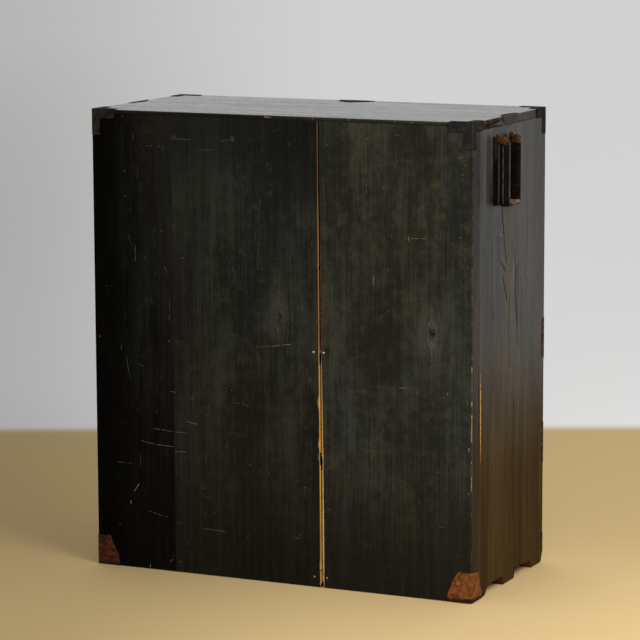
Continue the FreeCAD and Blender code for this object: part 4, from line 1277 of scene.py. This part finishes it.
def make_carry_handle(side, sign):
    """Square loop of ridged strap: round heads on the pins, bevelled corners, a flat grip."""
    node = "carry_handle_" + side
    low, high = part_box(node)
    pivot = Vector(JOINTS[side + "_carry_swing"]["pos_m"])
    half_strap = (high.x - low.x) / 2
    thick = 6 * MM
    leg = 32 * MM - thick
    foot = low.z - pivot.z
    bevel = 7 * MM
    shoulder = 9 * MM
    half = []
    for n in range(6):
        angle = math.radians(86 - 86 * n / 5)
        half.append((leg, 7.5 * MM * math.sin(angle), 0.68 * math.cos(angle)))
    half += [(leg, -0.5 * shoulder, 0.82), (leg, -shoulder, 1.0)]
    straight = 24
    for n in range(1, straight):
        half.append((leg, -shoulder + (foot + thick + bevel + shoulder) * n / straight, 1.0))
    half += [(leg, foot + thick + bevel * 0.6, 1.0), (leg - bevel * 0.6, foot + thick, 1.0)]
    path = list(half)
    path += [((leg - bevel) * (1 - n / 4), foot + thick, 1.0) for n in range(1, 8)]
    path += [(-y, z, width) for y, z, width in reversed(half)]

    # section from the wall (-1) outwards (+1), and from the loop's inside (0) to its outside (1)
    section = [(-1.0, 0.3), (-1.0, 0.7), (-0.9, 0.76), (-0.37, 0.99), (-0.18, 0.99), (0.92, 0.72),
               (1.0, 0.66), (1.0, 0.34), (0.92, 0.26), (0.5, 0.01), (0.33, 0.01), (-0.9, 0.24)]
    # The ridge crest, the rear leg's outer arris and the grip's inner faces take paler irons: wear with a
    # painted highlight.
    rear_looks = {3: 1, 5: 1}
    front_looks = {3: 1, 8: 4, 9: 4, 6: 4, 7: 4}
    grip_looks = {3: 1, 7: 2, 8: 2, 9: 2, 10: 2}
    rings = []
    count = len(path)
    for n, (y, z, width) in enumerate(path):
        before = path[max(n - 1, 0)]
        after = path[min(n + 1, count - 1)]
        run = Vector((after[0] - before[0], after[1] - before[1])).normalized()
        out = Vector((-run.y, run.x))
        stretch = 1.0
        if 0 < n < count - 1:
            first = Vector((y - before[0], z - before[1])).normalized()
            second = Vector((after[0] - y, after[1] - z)).normalized()
            stretch = 1 / max(0.5, math.sqrt((1 + first.dot(second)) / 2))
        ring = []
        for across, up in section:
            hammered = 1 + 0.03 * noise.noise(Vector((y, z, across * 0.01)) * 160)
            lift = thick * up * stretch * hammered
            ring.append(Vector((pivot.x + sign * across * half_strap * width,
                                pivot.y + y + out.x * lift, pivot.z + z + out.y * lift)))
        rings.append(ring)
    bm = bmesh.new()
    loops = add_rings(bm, rings)
    for first, second in zip(loops, loops[1:]):
        centre = sum((vertex.co for vertex in first + second), Vector()) / (2 * len(section))
        on_head = centre.z > pivot.z - 1.1 * shoulder
        looks = rear_looks if centre.y > pivot.y else front_looks
        if centre.z < low.z + thick + bevel * 0.7 and centre.y < pivot.y + leg * 0.3:
            looks = grip_looks
        for n in range(len(section)):
            after = (n + 1) % len(section)
            face = bm.faces.get((first[n], first[after], second[after], second[n]))
            face.material_index = 3 if on_head else looks.get(n, 0)
    for toward in (-1, 1):
        inner = leg + thick * 0.5
        outer = max(abs(high.y - pivot.y), abs(low.y - pivot.y))
        turn = axes("xz" + ("y" if toward > 0 else "Y"), pivot + Vector((0, toward * inner, 0)))
        pin = 3.4 * MM
        add_lathe(bm, [(pin, 0.0), (pin, outer - inner - 0.8 * MM), (pin * 0.7, outer - inner)], turn, 16)
    finish_piece("carry_strap_" + side, bm, side + "_carry",
                 [STRAP_IRON, WORN_AND_HIGHLIT_IRON, RUBBED_AND_HIGHLIT_IRON, HEAD_RUST, LEG_RUST], [node])


def make_handle_eyes(side, sign):
    """Two rusted eye bolts: a knob round the handle's pin, a neck and a ragged washer."""
    pivot = Vector(JOINTS[side + "_carry_swing"]["pos_m"])
    bm = bmesh.new()
    for toward in (-1, 1):
        centre_y = pivot.y + toward * EYE_REACH
        centre = Vector((pivot.x, centre_y, pivot.z))
        ring = axes("xzy", centre + Vector((0, -4.5 * MM, 0)))
        knob = in_mm(((3.7, 0), (6.2, 0), (7.5, 1.3), (8, 4.5), (7.5, 7.7), (6.2, 9), (3.7, 9)))
        add_lathe(bm, knob, ring, 20, 5, 0.05)
        neck = axes("yz" + ("X" if sign > 0 else "x"), centre)
        reach = abs(pivot.x) - HALF_WIDE
        add_lathe(bm, [(3.6 * MM, 0.0), (3.9 * MM, reach * 0.4), (4.6 * MM, reach * 0.7),
                       (6.4 * MM, reach - IRON)], neck, 16)
        seat = axes("yz" + ("x" if sign > 0 else "X"), Vector((sign * HALF_WIDE, centre_y, pivot.z)))
        add_lathe(bm, in_mm(((12, 0), (11.8, 0.7), (11, 1.2), (5, 1.4))), seat, 30, 7, 0.07)
    for face in bm.faces:
        if abs(face.calc_center_median().x) < HALF_WIDE + 2.5 * MM:
            face.material_index = 1
    for vertex in bm.verts:
        vertex.co += noise.noise_vector(vertex.co * 260) * 0.22 * MM
    finish_piece("eye_bolts_" + side, bm, "case", [EYE_RUST, WASHER_RUST],
                 ["handle_eyes_" + side])


# ------------------------------------------------------------------ drawers

def drawer_wood(tier):
    return DRAWER_WOOD_WARM if tier < 4 else DRAWER_WOOD_PALE


def make_drawer_front(tier):
    node = "drawer_%d_front" % tier
    low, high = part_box(node)
    bm = bmesh.new()
    add_box(bm, low, high)
    soften(bm, 1.6 * MM, 3)
    for face in bm.faces:
        face.material_index = 1 if face.normal.y > 0.9 else 0
    paint = wood("front_stain_%d" % tier, "x", (low, high), tone(0.017, 0.0115, 0.0075),
                 tone(0.07, 0.045, 0.028), tone(0.26, 0.14, 0.055), specular=0.35, roughness=(0.38, 0.58),
                 seed=50.0 + 3.1 * tier, edge_wear=0.55, edge_reach=4 * MM, specks=0.25,
                 streaks=1.15)
    finish_piece("drawer_%d_face" % tier, bm, "drawer_%d" % tier,
                 [paint, drawer_wood(tier)["back"]], [node])


def keyhole_radius(angle):
    """Distance from the keyhole's centre to its edge, at an angle from straight down."""
    turn = abs((angle + math.pi) % (2 * math.pi) - math.pi)
    round_hole, half_slot, slot_long = 3.2 * MM, 1.5 * MM, 11 * MM
    if turn < math.atan(half_slot / slot_long):
        return slot_long / math.cos(turn)
    if turn < math.asin(half_slot / round_hole):
        return half_slot / math.sin(turn)
    return round_hole


def add_lock_plate(bm, centre, radius, thick):
    """Scalloped round plate with a turned rim, a raised centre and a keyhole."""
    steps = 120
    profile = [(0.0, 0.0), (0.0, 0.9), (0.06, 1.0), (0.34, 1.0), (0.40, 0.62), (0.78, 0.62), (0.84, 0.95),
               (0.90, 0.95), (0.95, 0.6), (1.0, 0.4), (1.0, 0.0)]
    rings = []
    for share, lift in profile:
        ring = []
        for n in range(steps):
            angle = 2 * math.pi * n / steps
            inner = keyhole_radius(angle)
            outer = radius * (1 - 0.035 * (0.5 - 0.5 * math.cos(16 * angle)))
            reach = inner + (outer - inner) * share
            ring.append(centre + Vector((reach * math.sin(angle), -thick * lift, -reach * math.cos(angle))))
        rings.append(ring)
    loops = add_rings(bm, rings, close=False)
    for n in range(steps):
        after = (n + 1) % steps
        bm.faces.new((loops[-1][n], loops[-1][after], loops[0][after], loops[0][n]))
    for n in range(8):
        angle = 2 * math.pi * (n + 0.5) / 8
        way = Vector((math.sin(angle), 0, -math.cos(angle)))
        at = centre + way * radius * 0.62 + Vector((0, -thick * 0.6, 0))
        add_dome(bm, at, (0, -1, 0), 2.0 * MM, 1.1 * MM)


def add_cloud_corner(bm, corner, toward_x, toward_z, size):
    """Corner plate of a drawer front, with a scalloped inner edge and three nails."""
    outline = [Vector((0, 0)), Vector((size, 0))]
    lobes = 3
    for n in range(1, 8 * lobes):
        share = n / (8 * lobes)
        base = Vector((size * (1 - share), size * share))
        swell = 0.16 + 0.14 * abs(math.sin(math.pi * lobes * share))
        outline.append(base * (1 + swell * math.sin(math.pi * share)))
    outline.append(Vector((0, size)))
    outline = [(p.x, p.y) for p in outline]
    matrix = axes(("x" if toward_x > 0 else "X") + ("z" if toward_z > 0 else "Z") + "Y", corner)
    add_prism(bm, outline, 0.8 * MM, matrix)
    for a, b in ((0.2, 0.2), (0.72, 0.16), (0.16, 0.72)):
        add_dome(bm, matrix @ Vector((a * size, b * size, 0.8 * MM)), (0, -1, 0), 1.8 * MM, 0.9 * MM)


def make_drawer_irons(tier):
    """Lock plate, four corner plates and the four rosetted posts of a drawer."""
    body = "drawer_%d" % tier
    front_low, front_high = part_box("drawer_%d_front" % tier)
    low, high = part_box("drawer_%d_irons" % tier)
    plate = 1.2 * MM
    bm = bmesh.new()
    centre = Vector((0, FRONT, (front_low.z + front_high.z) / 2))
    # A dark disc behind the keyhole: painted shade inside the hole.
    add_lathe(bm, [(14 * MM, 0.0), (14 * MM, 0.1 * MM)], axes("xzY", centre))
    for face in bm.faces:
        face.material_index = 1
    add_lock_plate(bm, centre, 39 * MM, plate + 0.6 * MM)
    size = 34 * MM
    for toward_x, x in ((1, low.x), (-1, high.x)):
        for toward_z, z in ((1, low.z), (-1, high.z)):
            add_cloud_corner(bm, Vector((x, FRONT, z)), toward_x, toward_z, size)
    for side, sign in SIDES:
        pivot = Vector(JOINTS["bail_%d_%s_swing" % (tier, side)]["pos_m"])
        for reach in (-POST_REACH, POST_REACH):
            seat = axes("xzY", (pivot.x + reach, FRONT, pivot.z))
            rosette = in_mm(((14, 0), (13.6, 0.8), (12, 1.3), (8.5, 1), (7.2, 2), (5.2, 2.4)))
            add_lathe(bm, rosette, seat, 48, 12, 0.13)
            tip = FRONT - low.y
            pin = FRONT - pivot.y
            add_lathe(bm, [(4.6 * MM, 1.0 * MM), (3.9 * MM, 3.4 * MM), (4.6 * MM, 5.0 * MM),
                           (5.4 * MM, pin - 1.5 * MM), (5.5 * MM, pin + 1.0 * MM), (4.7 * MM, tip - 2.0 * MM),
                           (2.8 * MM, tip - 0.5 * MM), (0.9 * MM, tip)], seat, 24)
    finish_piece("drawer_%d_ironwork" % tier, bm, body, [DRAWER_IRON, PAINTED_SHADE_IRON],
                 ["drawer_%d_irons" % tier])


def make_bail(tier, side):
    """A forged drop pull, thickest at its grip, whose ends turn in through the posts."""
    node = "drawer_%d_bail_%s" % (tier, side)
    low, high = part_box(node)
    pivot = Vector(JOINTS["bail_%d_%s_swing" % (tier, side)]["pos_m"])
    rod = (high.y - low.y) / 2
    half = (high.x - low.x) / 2 - rod
    drop = pivot.z - low.z - rod
    knee, corner = 4.5 * MM, 14 * MM
    tip = 40.5 * MM
    path = [Vector((-tip, 0))]
    turns = (((knee - half, -knee), knee, 90), ((corner - half, corner - drop), corner, 180),
             ((half - corner, corner - drop), corner, 270), ((half - knee, -knee), knee, 0))
    for (x, z), radius, start in turns:
        for n in range(9):
            angle = math.radians(start + 90 * n / 8)
            path.append(Vector((x + radius * math.cos(angle), z + radius * math.sin(angle))))
        if start == 180:
            for n in range(1, 8):
                path.append(Vector(((half - corner) * (n / 4 - 1), -drop)))
    path.append(Vector((tip, 0)))
    rings = []
    count = len(path)
    steps = 14
    for n, point in enumerate(path):
        run = (path[min(n + 1, count - 1)] - path[max(n - 1, 0)]).normalized()
        side_way = Vector((-run.y, 0, run.x))
        grip = max(0.0, -point.y / drop)
        radius = rod * (0.8 + 0.19 * grip)
        ring = []
        for m in range(steps):
            angle = 2 * math.pi * m / steps
            offset = side_way * math.cos(angle) + Vector((0, 1, 0)) * math.sin(angle)
            spot = Vector((point.x, 0, point.y)) + offset * radius
            dent = 1 - 0.05 * abs(noise.noise(spot * 190 + Vector((tier, 0, 0))))
            ring.append(pivot + Vector((point.x, 0, point.y)) + offset * radius * dent)
        rings.append(ring)
    bm = bmesh.new()
    add_rings(bm, rings)
    finish_piece("drawer_%d_pull_%s" % (tier, side), bm, "bail_%d_%s" % (tier, side),
                 [STRAP_IRON], [node])


# ------------------------------------------------------------------ inner boards keep their CAD shape

def repaint(node, material):
    data = frame["nodes"][node].data
    data.materials.clear()
    data.materials.append(material)


def front_wood(name, node, seed, **more):
    """Stained wood of the boards seen between and below the drawers."""
    return wood(name, "x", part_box(node), tone(0.016, 0.011, 0.007), tone(0.06, 0.04, 0.025),
                tone(0.26, 0.14, 0.055), specular=0.4, roughness=(0.3, 0.5), seed=seed,
                edge_wear=0.7, **more)


def paint_inner_boards():
    for node in ("rear_rail", "drawer_runners"):
        repaint(node, RAIL_WOOD)
    inner = (1, FRONT + 18 * MM, FRONT + 5 * MM, 1.0, tone(0.5, 0.31, 0.13), 0.7)
    repaint("bottom_board", front_wood("bottom_board_stain", "bottom_board", 76.0, shades=[inner]))
    stain = wood("batten_stain", "x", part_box("floor_battens"), tone(0.008, 0.006, 0.004),
                 tone(0.03, 0.02, 0.013), tone(0.16, 0.08, 0.03), specular=0.2, seed=90.0)
    repaint("floor_battens", stain)
    for rail in range(1, 5):
        node = "front_rail_%d" % rail
        repaint(node, front_wood("rail_stain_%d" % rail, node, 70.0 + rail))
    for tier in TIERS:
        for part, material in drawer_wood(tier).items():
            repaint("drawer_%d_%s" % (tier, part), material)


# ------------------------------------------------------------------ stage, light and camera

WALL = tone(0.65, 0.66, 0.65)
FAR_WALL = tone(0.735, 0.71, 0.69)
FLOOR = tone(0.6, 0.43, 0.205)
FLOOR_BESIDE = tone(0.5, 0.355, 0.17)
VIEW_WAY = (0.4236, -0.9058, 0.0)
VIEW_LEFT = (0.9058, 0.4236, 0.0)


def make_floor():
    """Pale boards' colour near the chest, darker boards behind it, the wall's colour further behind and far
    away, and a painted light falloff to one side.
    """
    paint = Paint("pale_floor", 0.0)
    away = paint.vector("LENGTH", paint.vector("MULTIPLY", paint.place, (1.0, 1.0, 0.0)), output=1)
    behind = paint.vector("DOT_PRODUCT", paint.place, VIEW_WAY, 1)
    wall = paint.calc("MAXIMUM", paint.ramp(away, 3.0, 5.0), paint.ramp(behind, 1.40, 1.52))
    boards = paint.mix(paint.ramp(behind, -0.5, 0.4), FLOOR, FLOOR_BESIDE)
    colour = paint.mix(wall, boards, FAR_WALL)
    # Painted light falloff: the floor is darkened towards one side of the view from the camera's place.
    from_viewer = paint.vector("SUBTRACT", paint.place, (-2.56, 5.48, 0.0))
    ahead = paint.calc("MAXIMUM", paint.vector("DOT_PRODUCT", from_viewer, VIEW_WAY, 1), 1.0)
    aside = paint.calc("DIVIDE", paint.vector("DOT_PRODUCT", from_viewer, VIEW_LEFT, 1), ahead)
    strength = paint.ramp(ahead, 10.0, 26.0, 0.38, 0.27)
    painted_falloff = paint.times(paint.ramp(aside, -0.02, 0.12), strength)
    colour = paint.mix(painted_falloff, colour, tone(0.0, 0.0, 0.0))
    paint.finish(colour, 1.0, 0.0, 0.0)
    bm = bmesh.new()
    far = 60.0
    below = -0.3 * MM
    corners = ((-far, -far), (far, -far), (far, far), (-far, far))
    bm.faces.new([bm.verts.new((x, y, below)) for x, y in corners])
    mesh = bpy.data.meshes.new("floor")
    bm.to_mesh(mesh)
    bm.free()
    mesh.materials.append(paint.material)
    link("floor", mesh)


def make_world():
    """Soft even light; camera and mirror rays see the pale wall instead."""
    world = bpy.data.worlds.new("studio")
    world.use_nodes = True
    bpy.context.scene.world = world
    tree = world.node_tree
    tree.nodes.clear()
    path = tree.nodes.new("ShaderNodeLightPath")
    light = tree.nodes.new("ShaderNodeBackground")
    light.inputs["Color"].default_value = tone(0.93, 0.97, 1.0)
    light.inputs["Strength"].default_value = 0.7
    wall = tree.nodes.new("ShaderNodeBackground")
    wall.inputs["Color"].default_value = WALL
    seen = path.outputs["Is Camera Ray"]
    for name in ("Is Glossy Ray", "Is Transmission Ray"):
        both = tree.nodes.new("ShaderNodeMath")
        both.operation = "MAXIMUM"
        tree.links.new(seen, both.inputs[0])
        tree.links.new(path.outputs[name], both.inputs[1])
        seen = both.outputs[0]
    choice = tree.nodes.new("ShaderNodeMixShader")
    tree.links.new(seen, choice.inputs[0])
    tree.links.new(light.outputs[0], choice.inputs[1])
    tree.links.new(wall.outputs[0], choice.inputs[2])
    output = tree.nodes.new("ShaderNodeOutputWorld")
    tree.links.new(choice.outputs[0], output.inputs["Surface"])


def add_lamp(name, kind, toward, energy, colour):
    """A lamp that shines from the way toward."""
    data = bpy.data.lights.new(name, kind)
    data.energy = energy
    data.color = colour
    lamp = link(name, data)
    lamp.rotation_mode = "QUATERNION"
    lamp.rotation_quaternion = Vector(toward).to_track_quat("Z", "Y")
    return lamp


def make_sun(name, toward, strength, spread, colour):
    add_lamp(name, "SUN", toward, strength, colour).data.angle = math.radians(spread)


def make_softbox(name, place, target, power, size, colour):
    lamp = add_lamp(name, "AREA", Vector(place) - Vector(target), power, colour)
    lamp.data.shape = "DISK"
    lamp.data.size = size
    lamp.visible_camera = False
    lamp.location = place


CAMERA_PLACE = Vector((-2.56286, 5.48259, 1.46445))
CAMERA_HEADING = 205.046
CAMERA_PITCH = 8.942
CAMERA_ROLL = -0.2235
CAMERA_LENS = 167.14


def make_camera():
    data = bpy.data.cameras.new("camera")
    data.sensor_width = 36.0
    data.lens = CAMERA_LENS
    data.clip_end = 200.0
    camera = link("camera", data)
    turn = (Matrix.Rotation(math.radians(CAMERA_HEADING), 4, "Z")
            @ Matrix.Rotation(math.radians(90 - CAMERA_PITCH), 4, "X")
            @ Matrix.Rotation(math.radians(CAMERA_ROLL), 4, "Z"))
    camera.matrix_world = Matrix.Translation(CAMERA_PLACE) @ turn
    bpy.context.scene.camera = camera


# ------------------------------------------------------------------ build

# Heights of painted shade on the raw wood of the open joint, where it would look into the dark between two
# drawers
DRAWER_GAPS = ((0.797, 0.812), (0.645, 0.655), (0.455, 0.478), (0.251, 0.277), (0.033, 0.036),
               (-0.01, 0.008))
GAP_SHADE_BANDS = [(low, high, 0.6 * MM, 0.97, tone(0.001, 0.0008, 0.0006)) for low, high in DRAWER_GAPS]
# The split wood carries the painted shade bands of the drawer gaps.
SPLIT_WOOD = raw_wood("split_wood", "z", tone(0.3, 0.14, 0.012), tone(0.85, 0.47, 0.06), 1.0, bands=[
    (0.47, 1.2, 8 * MM, 0.8, tone(0.2, 0.06, 0.006)),
    (0.76, 1.2, 60 * MM, 0.85, tone(0.012, 0.004, 0.001))] + GAP_SHADE_BANDS)
ARRIS_WOOD = raw_wood("arris_wood", "z", tone(0.17, 0.085, 0.03), tone(0.4, 0.23, 0.09), 3.0, bands=[
    (0.49, 1.2, 20 * MM, 0.6, tone(0.17, 0.07, 0.018)),
    (0.78, 1.2, 60 * MM, 0.7, tone(0.07, 0.028, 0.008))])
ARRIS_GOLD = raw_wood("arris_gold", "z", tone(0.6, 0.36, 0.09), tone(1.0, 0.72, 0.27), 3.5, bands=[
    (0.47, 1.2, 8 * MM, 0.85, tone(0.09, 0.035, 0.008)),
    (0.70, 1.2, 60 * MM, 0.85, tone(0.02, 0.009, 0.003))])
FOOT_END = raw_wood("foot_end_wood", "x", tone(0.02, 0.005, 0.003), tone(0.11, 0.026, 0.011), 6.0)
RAIL_WOOD = raw_wood("rail_wood", "x", tone(0.5, 0.3, 0.12), tone(0.8, 0.58, 0.28), 2.0)


def drawer_woods(look, dark, light, seed):
    """The wood of a drawer's bottom, sides and back, by part."""
    return {part: raw_wood("drawer_wood_%s_%s" % (look, part), grain, dark, light, seed + n)
            for n, (part, grain) in enumerate((("bottom", "x"), ("sides", "y"), ("back", "x")))}


DRAWER_WOOD_WARM = drawer_woods("warm", tone(0.3, 0.12, 0.035), tone(0.5, 0.24, 0.08), 4.0)
DRAWER_WOOD_PALE = drawer_woods("pale", tone(0.6, 0.38, 0.15), tone(0.85, 0.62, 0.3), 8.0)
MOUNT_IRON = iron("mount_iron", tone(0.003, 0.0029, 0.0026), tone(0.012, 0.0112, 0.0095),
                  tone(0.035, 0.02, 0.01), 0.1, roughness=(0.4, 0.6), specular=0.22)
LID_IRON = iron("lid_iron", tone(0.006, 0.005, 0.0038), tone(0.022, 0.017, 0.012), tone(0.05, 0.024, 0.009),
                0.12, roughness=(0.8, 0.95), specular=0.05)
# Near-black iron for painted shade: the shadow rim round the corner mounts and the dark in the keyholes.
PAINTED_SHADE_IRON = iron("painted_plate_shade", tone(0.0015, 0.0012, 0.001), tone(0.004, 0.003, 0.0025),
             tone(0.012, 0.006, 0.003),
             0.1, roughness=(0.85, 0.95), specular=0.02)
PLATE_RUST = iron("plate_rust", tone(0.004, 0.002, 0.0015), tone(0.02, 0.008, 0.0045),
                  tone(0.12, 0.05, 0.018),
                  0.2, roughness=(0.6, 0.8), specular=0.15, seed=4.0)
STRAP_IRON = iron("strap_iron", tone(0.0012, 0.001, 0.0008), tone(0.0045, 0.003, 0.0022),
                  tone(0.022, 0.009, 0.004), 0.1, roughness=(0.45, 0.65), specular=0.07, seed=2.0)
# Paler irons of the carrying handles: worn and rubbed iron with a painted highlight on ridge, arris and grip.
WORN_AND_HIGHLIT_IRON = iron("worn_and_highlit_iron", tone(0.02, 0.019, 0.017), tone(0.09, 0.085, 0.072), tone(0.05, 0.03, 0.018),
                 0.12, metallic=0.2, roughness=(0.4, 0.55), specular=0.35, seed=3.0)
RUBBED_AND_HIGHLIT_IRON = iron("rubbed_and_highlit_iron", tone(0.035, 0.024, 0.014), tone(0.19, 0.125, 0.068),
                   tone(0.07, 0.033, 0.014),
                   0.16, roughness=(0.45, 0.65), specular=0.3, seed=8.0)
LEG_RUST = iron("leg_rust", tone(0.002, 0.0009, 0.0006), tone(0.009, 0.003, 0.0018),
                tone(0.035, 0.013, 0.006),
                0.14, roughness=(0.6, 0.8), specular=0.04, seed=9.0)
DRAWER_IRON = iron("drawer_iron", tone(0.005, 0.0045, 0.004), tone(0.02, 0.018, 0.016),
                   tone(0.09, 0.04, 0.018), 0.08, metallic=0.2, roughness=(0.3, 0.5), specular=0.35, seed=5.0)
CAP_RUST_LEFT = rusted_iron("cap_rust_left", tone(0.075, 0.02, 0.004), tone(0.155, 0.046, 0.008),
                            tone(0.2, 0.076, 0.02), 1.0, grain_scale=110.0, scale_left=0.62)
CAP_RUST_RIGHT = rusted_iron("cap_rust_right", tone(0.012, 0.003, 0.0006), tone(0.042, 0.0095, 0.001),
                             tone(0.085, 0.024, 0.004), 2.0, pale_share=0.06, grain_scale=110.0,
                             scale_left=0.62)
EYE_RUST = rusted_iron("eye_rust", tone(0.008, 0.003, 0.001), tone(0.035, 0.012, 0.003),
                       tone(0.12, 0.045, 0.012), 6.0, roughness=(0.4, 0.75))
WASHER_RUST = rusted_iron("washer_rust", tone(0.002, 0.001, 0.0006), tone(0.008, 0.0035, 0.0018),
                          tone(0.03, 0.012, 0.004), 9.0, pale_share=0.1)
HEAD_RUST = rusted_iron("head_rust", tone(0.004, 0.0018, 0.0009), tone(0.018, 0.007, 0.0028),
                        tone(0.07, 0.028, 0.009), 5.0, pale_share=0.15)
MARK_WOOD = {
    "pale": raw_wood("scratch_pale", "x", tone(0.04, 0.038, 0.03), tone(0.095, 0.09, 0.072), 11.0),
    "faint": raw_wood("scratch_faint", "x", tone(0.02, 0.019, 0.014), tone(0.05, 0.047, 0.037), 12.0),
    "yellow": raw_wood("scratch_yellow", "x", tone(0.1, 0.065, 0.018), tone(0.27, 0.18, 0.05), 13.0),
    "grey": raw_wood("speck_grey", "x", tone(0.045, 0.043, 0.034), tone(0.12, 0.115, 0.09), 14.0),
    "brown": raw_wood("scratch_brown", "x", tone(0.02, 0.01, 0.004), tone(0.055, 0.03, 0.011), 15.0),
}
NAIL_BRIGHT = nail_iron("nail_bright", tone(0.38, 0.37, 0.35), tone(0.8, 0.79, 0.76), 0.85)
NAIL_DULL = nail_iron("nail_dull", tone(0.09, 0.08, 0.05), tone(0.28, 0.25, 0.17), 0.2)
NAIL_PAINTED = nail_iron("nail_painted", tone(0.004, 0.0036, 0.003), tone(0.015, 0.014, 0.012), 0.0)

make_top_board()
make_back()
make_top_mounts()
make_bottom_caps()
make_rail_plates()
make_edge_plates()
make_back_nails()
for side, sign in SIDES:
    make_side_board(side, sign)
    make_carry_handle(side, sign)
    make_handle_eyes(side, sign)
for tier in TIERS:
    make_drawer_front(tier)
    make_drawer_irons(tier)
    for side, sign in SIDES:
        make_bail(tier, side)
paint_inner_boards()

make_floor()
make_world()
make_softbox("key", (-2.0, 1.3, 1.9), (-0.1, 0.15, 0.5), 55.0, 1.4, (1.0, 0.985, 0.96))
make_sun("front_fill", (0.35, -0.8, 0.75), 0.8, 60.0, (0.97, 0.985, 1.0))
make_sun("back_fill", (-0.35, 0.9, 0.35), 0.5, 20.0, (1.0, 0.99, 0.97))
make_camera()

bpy.context.scene.view_settings.view_transform = "Standard"
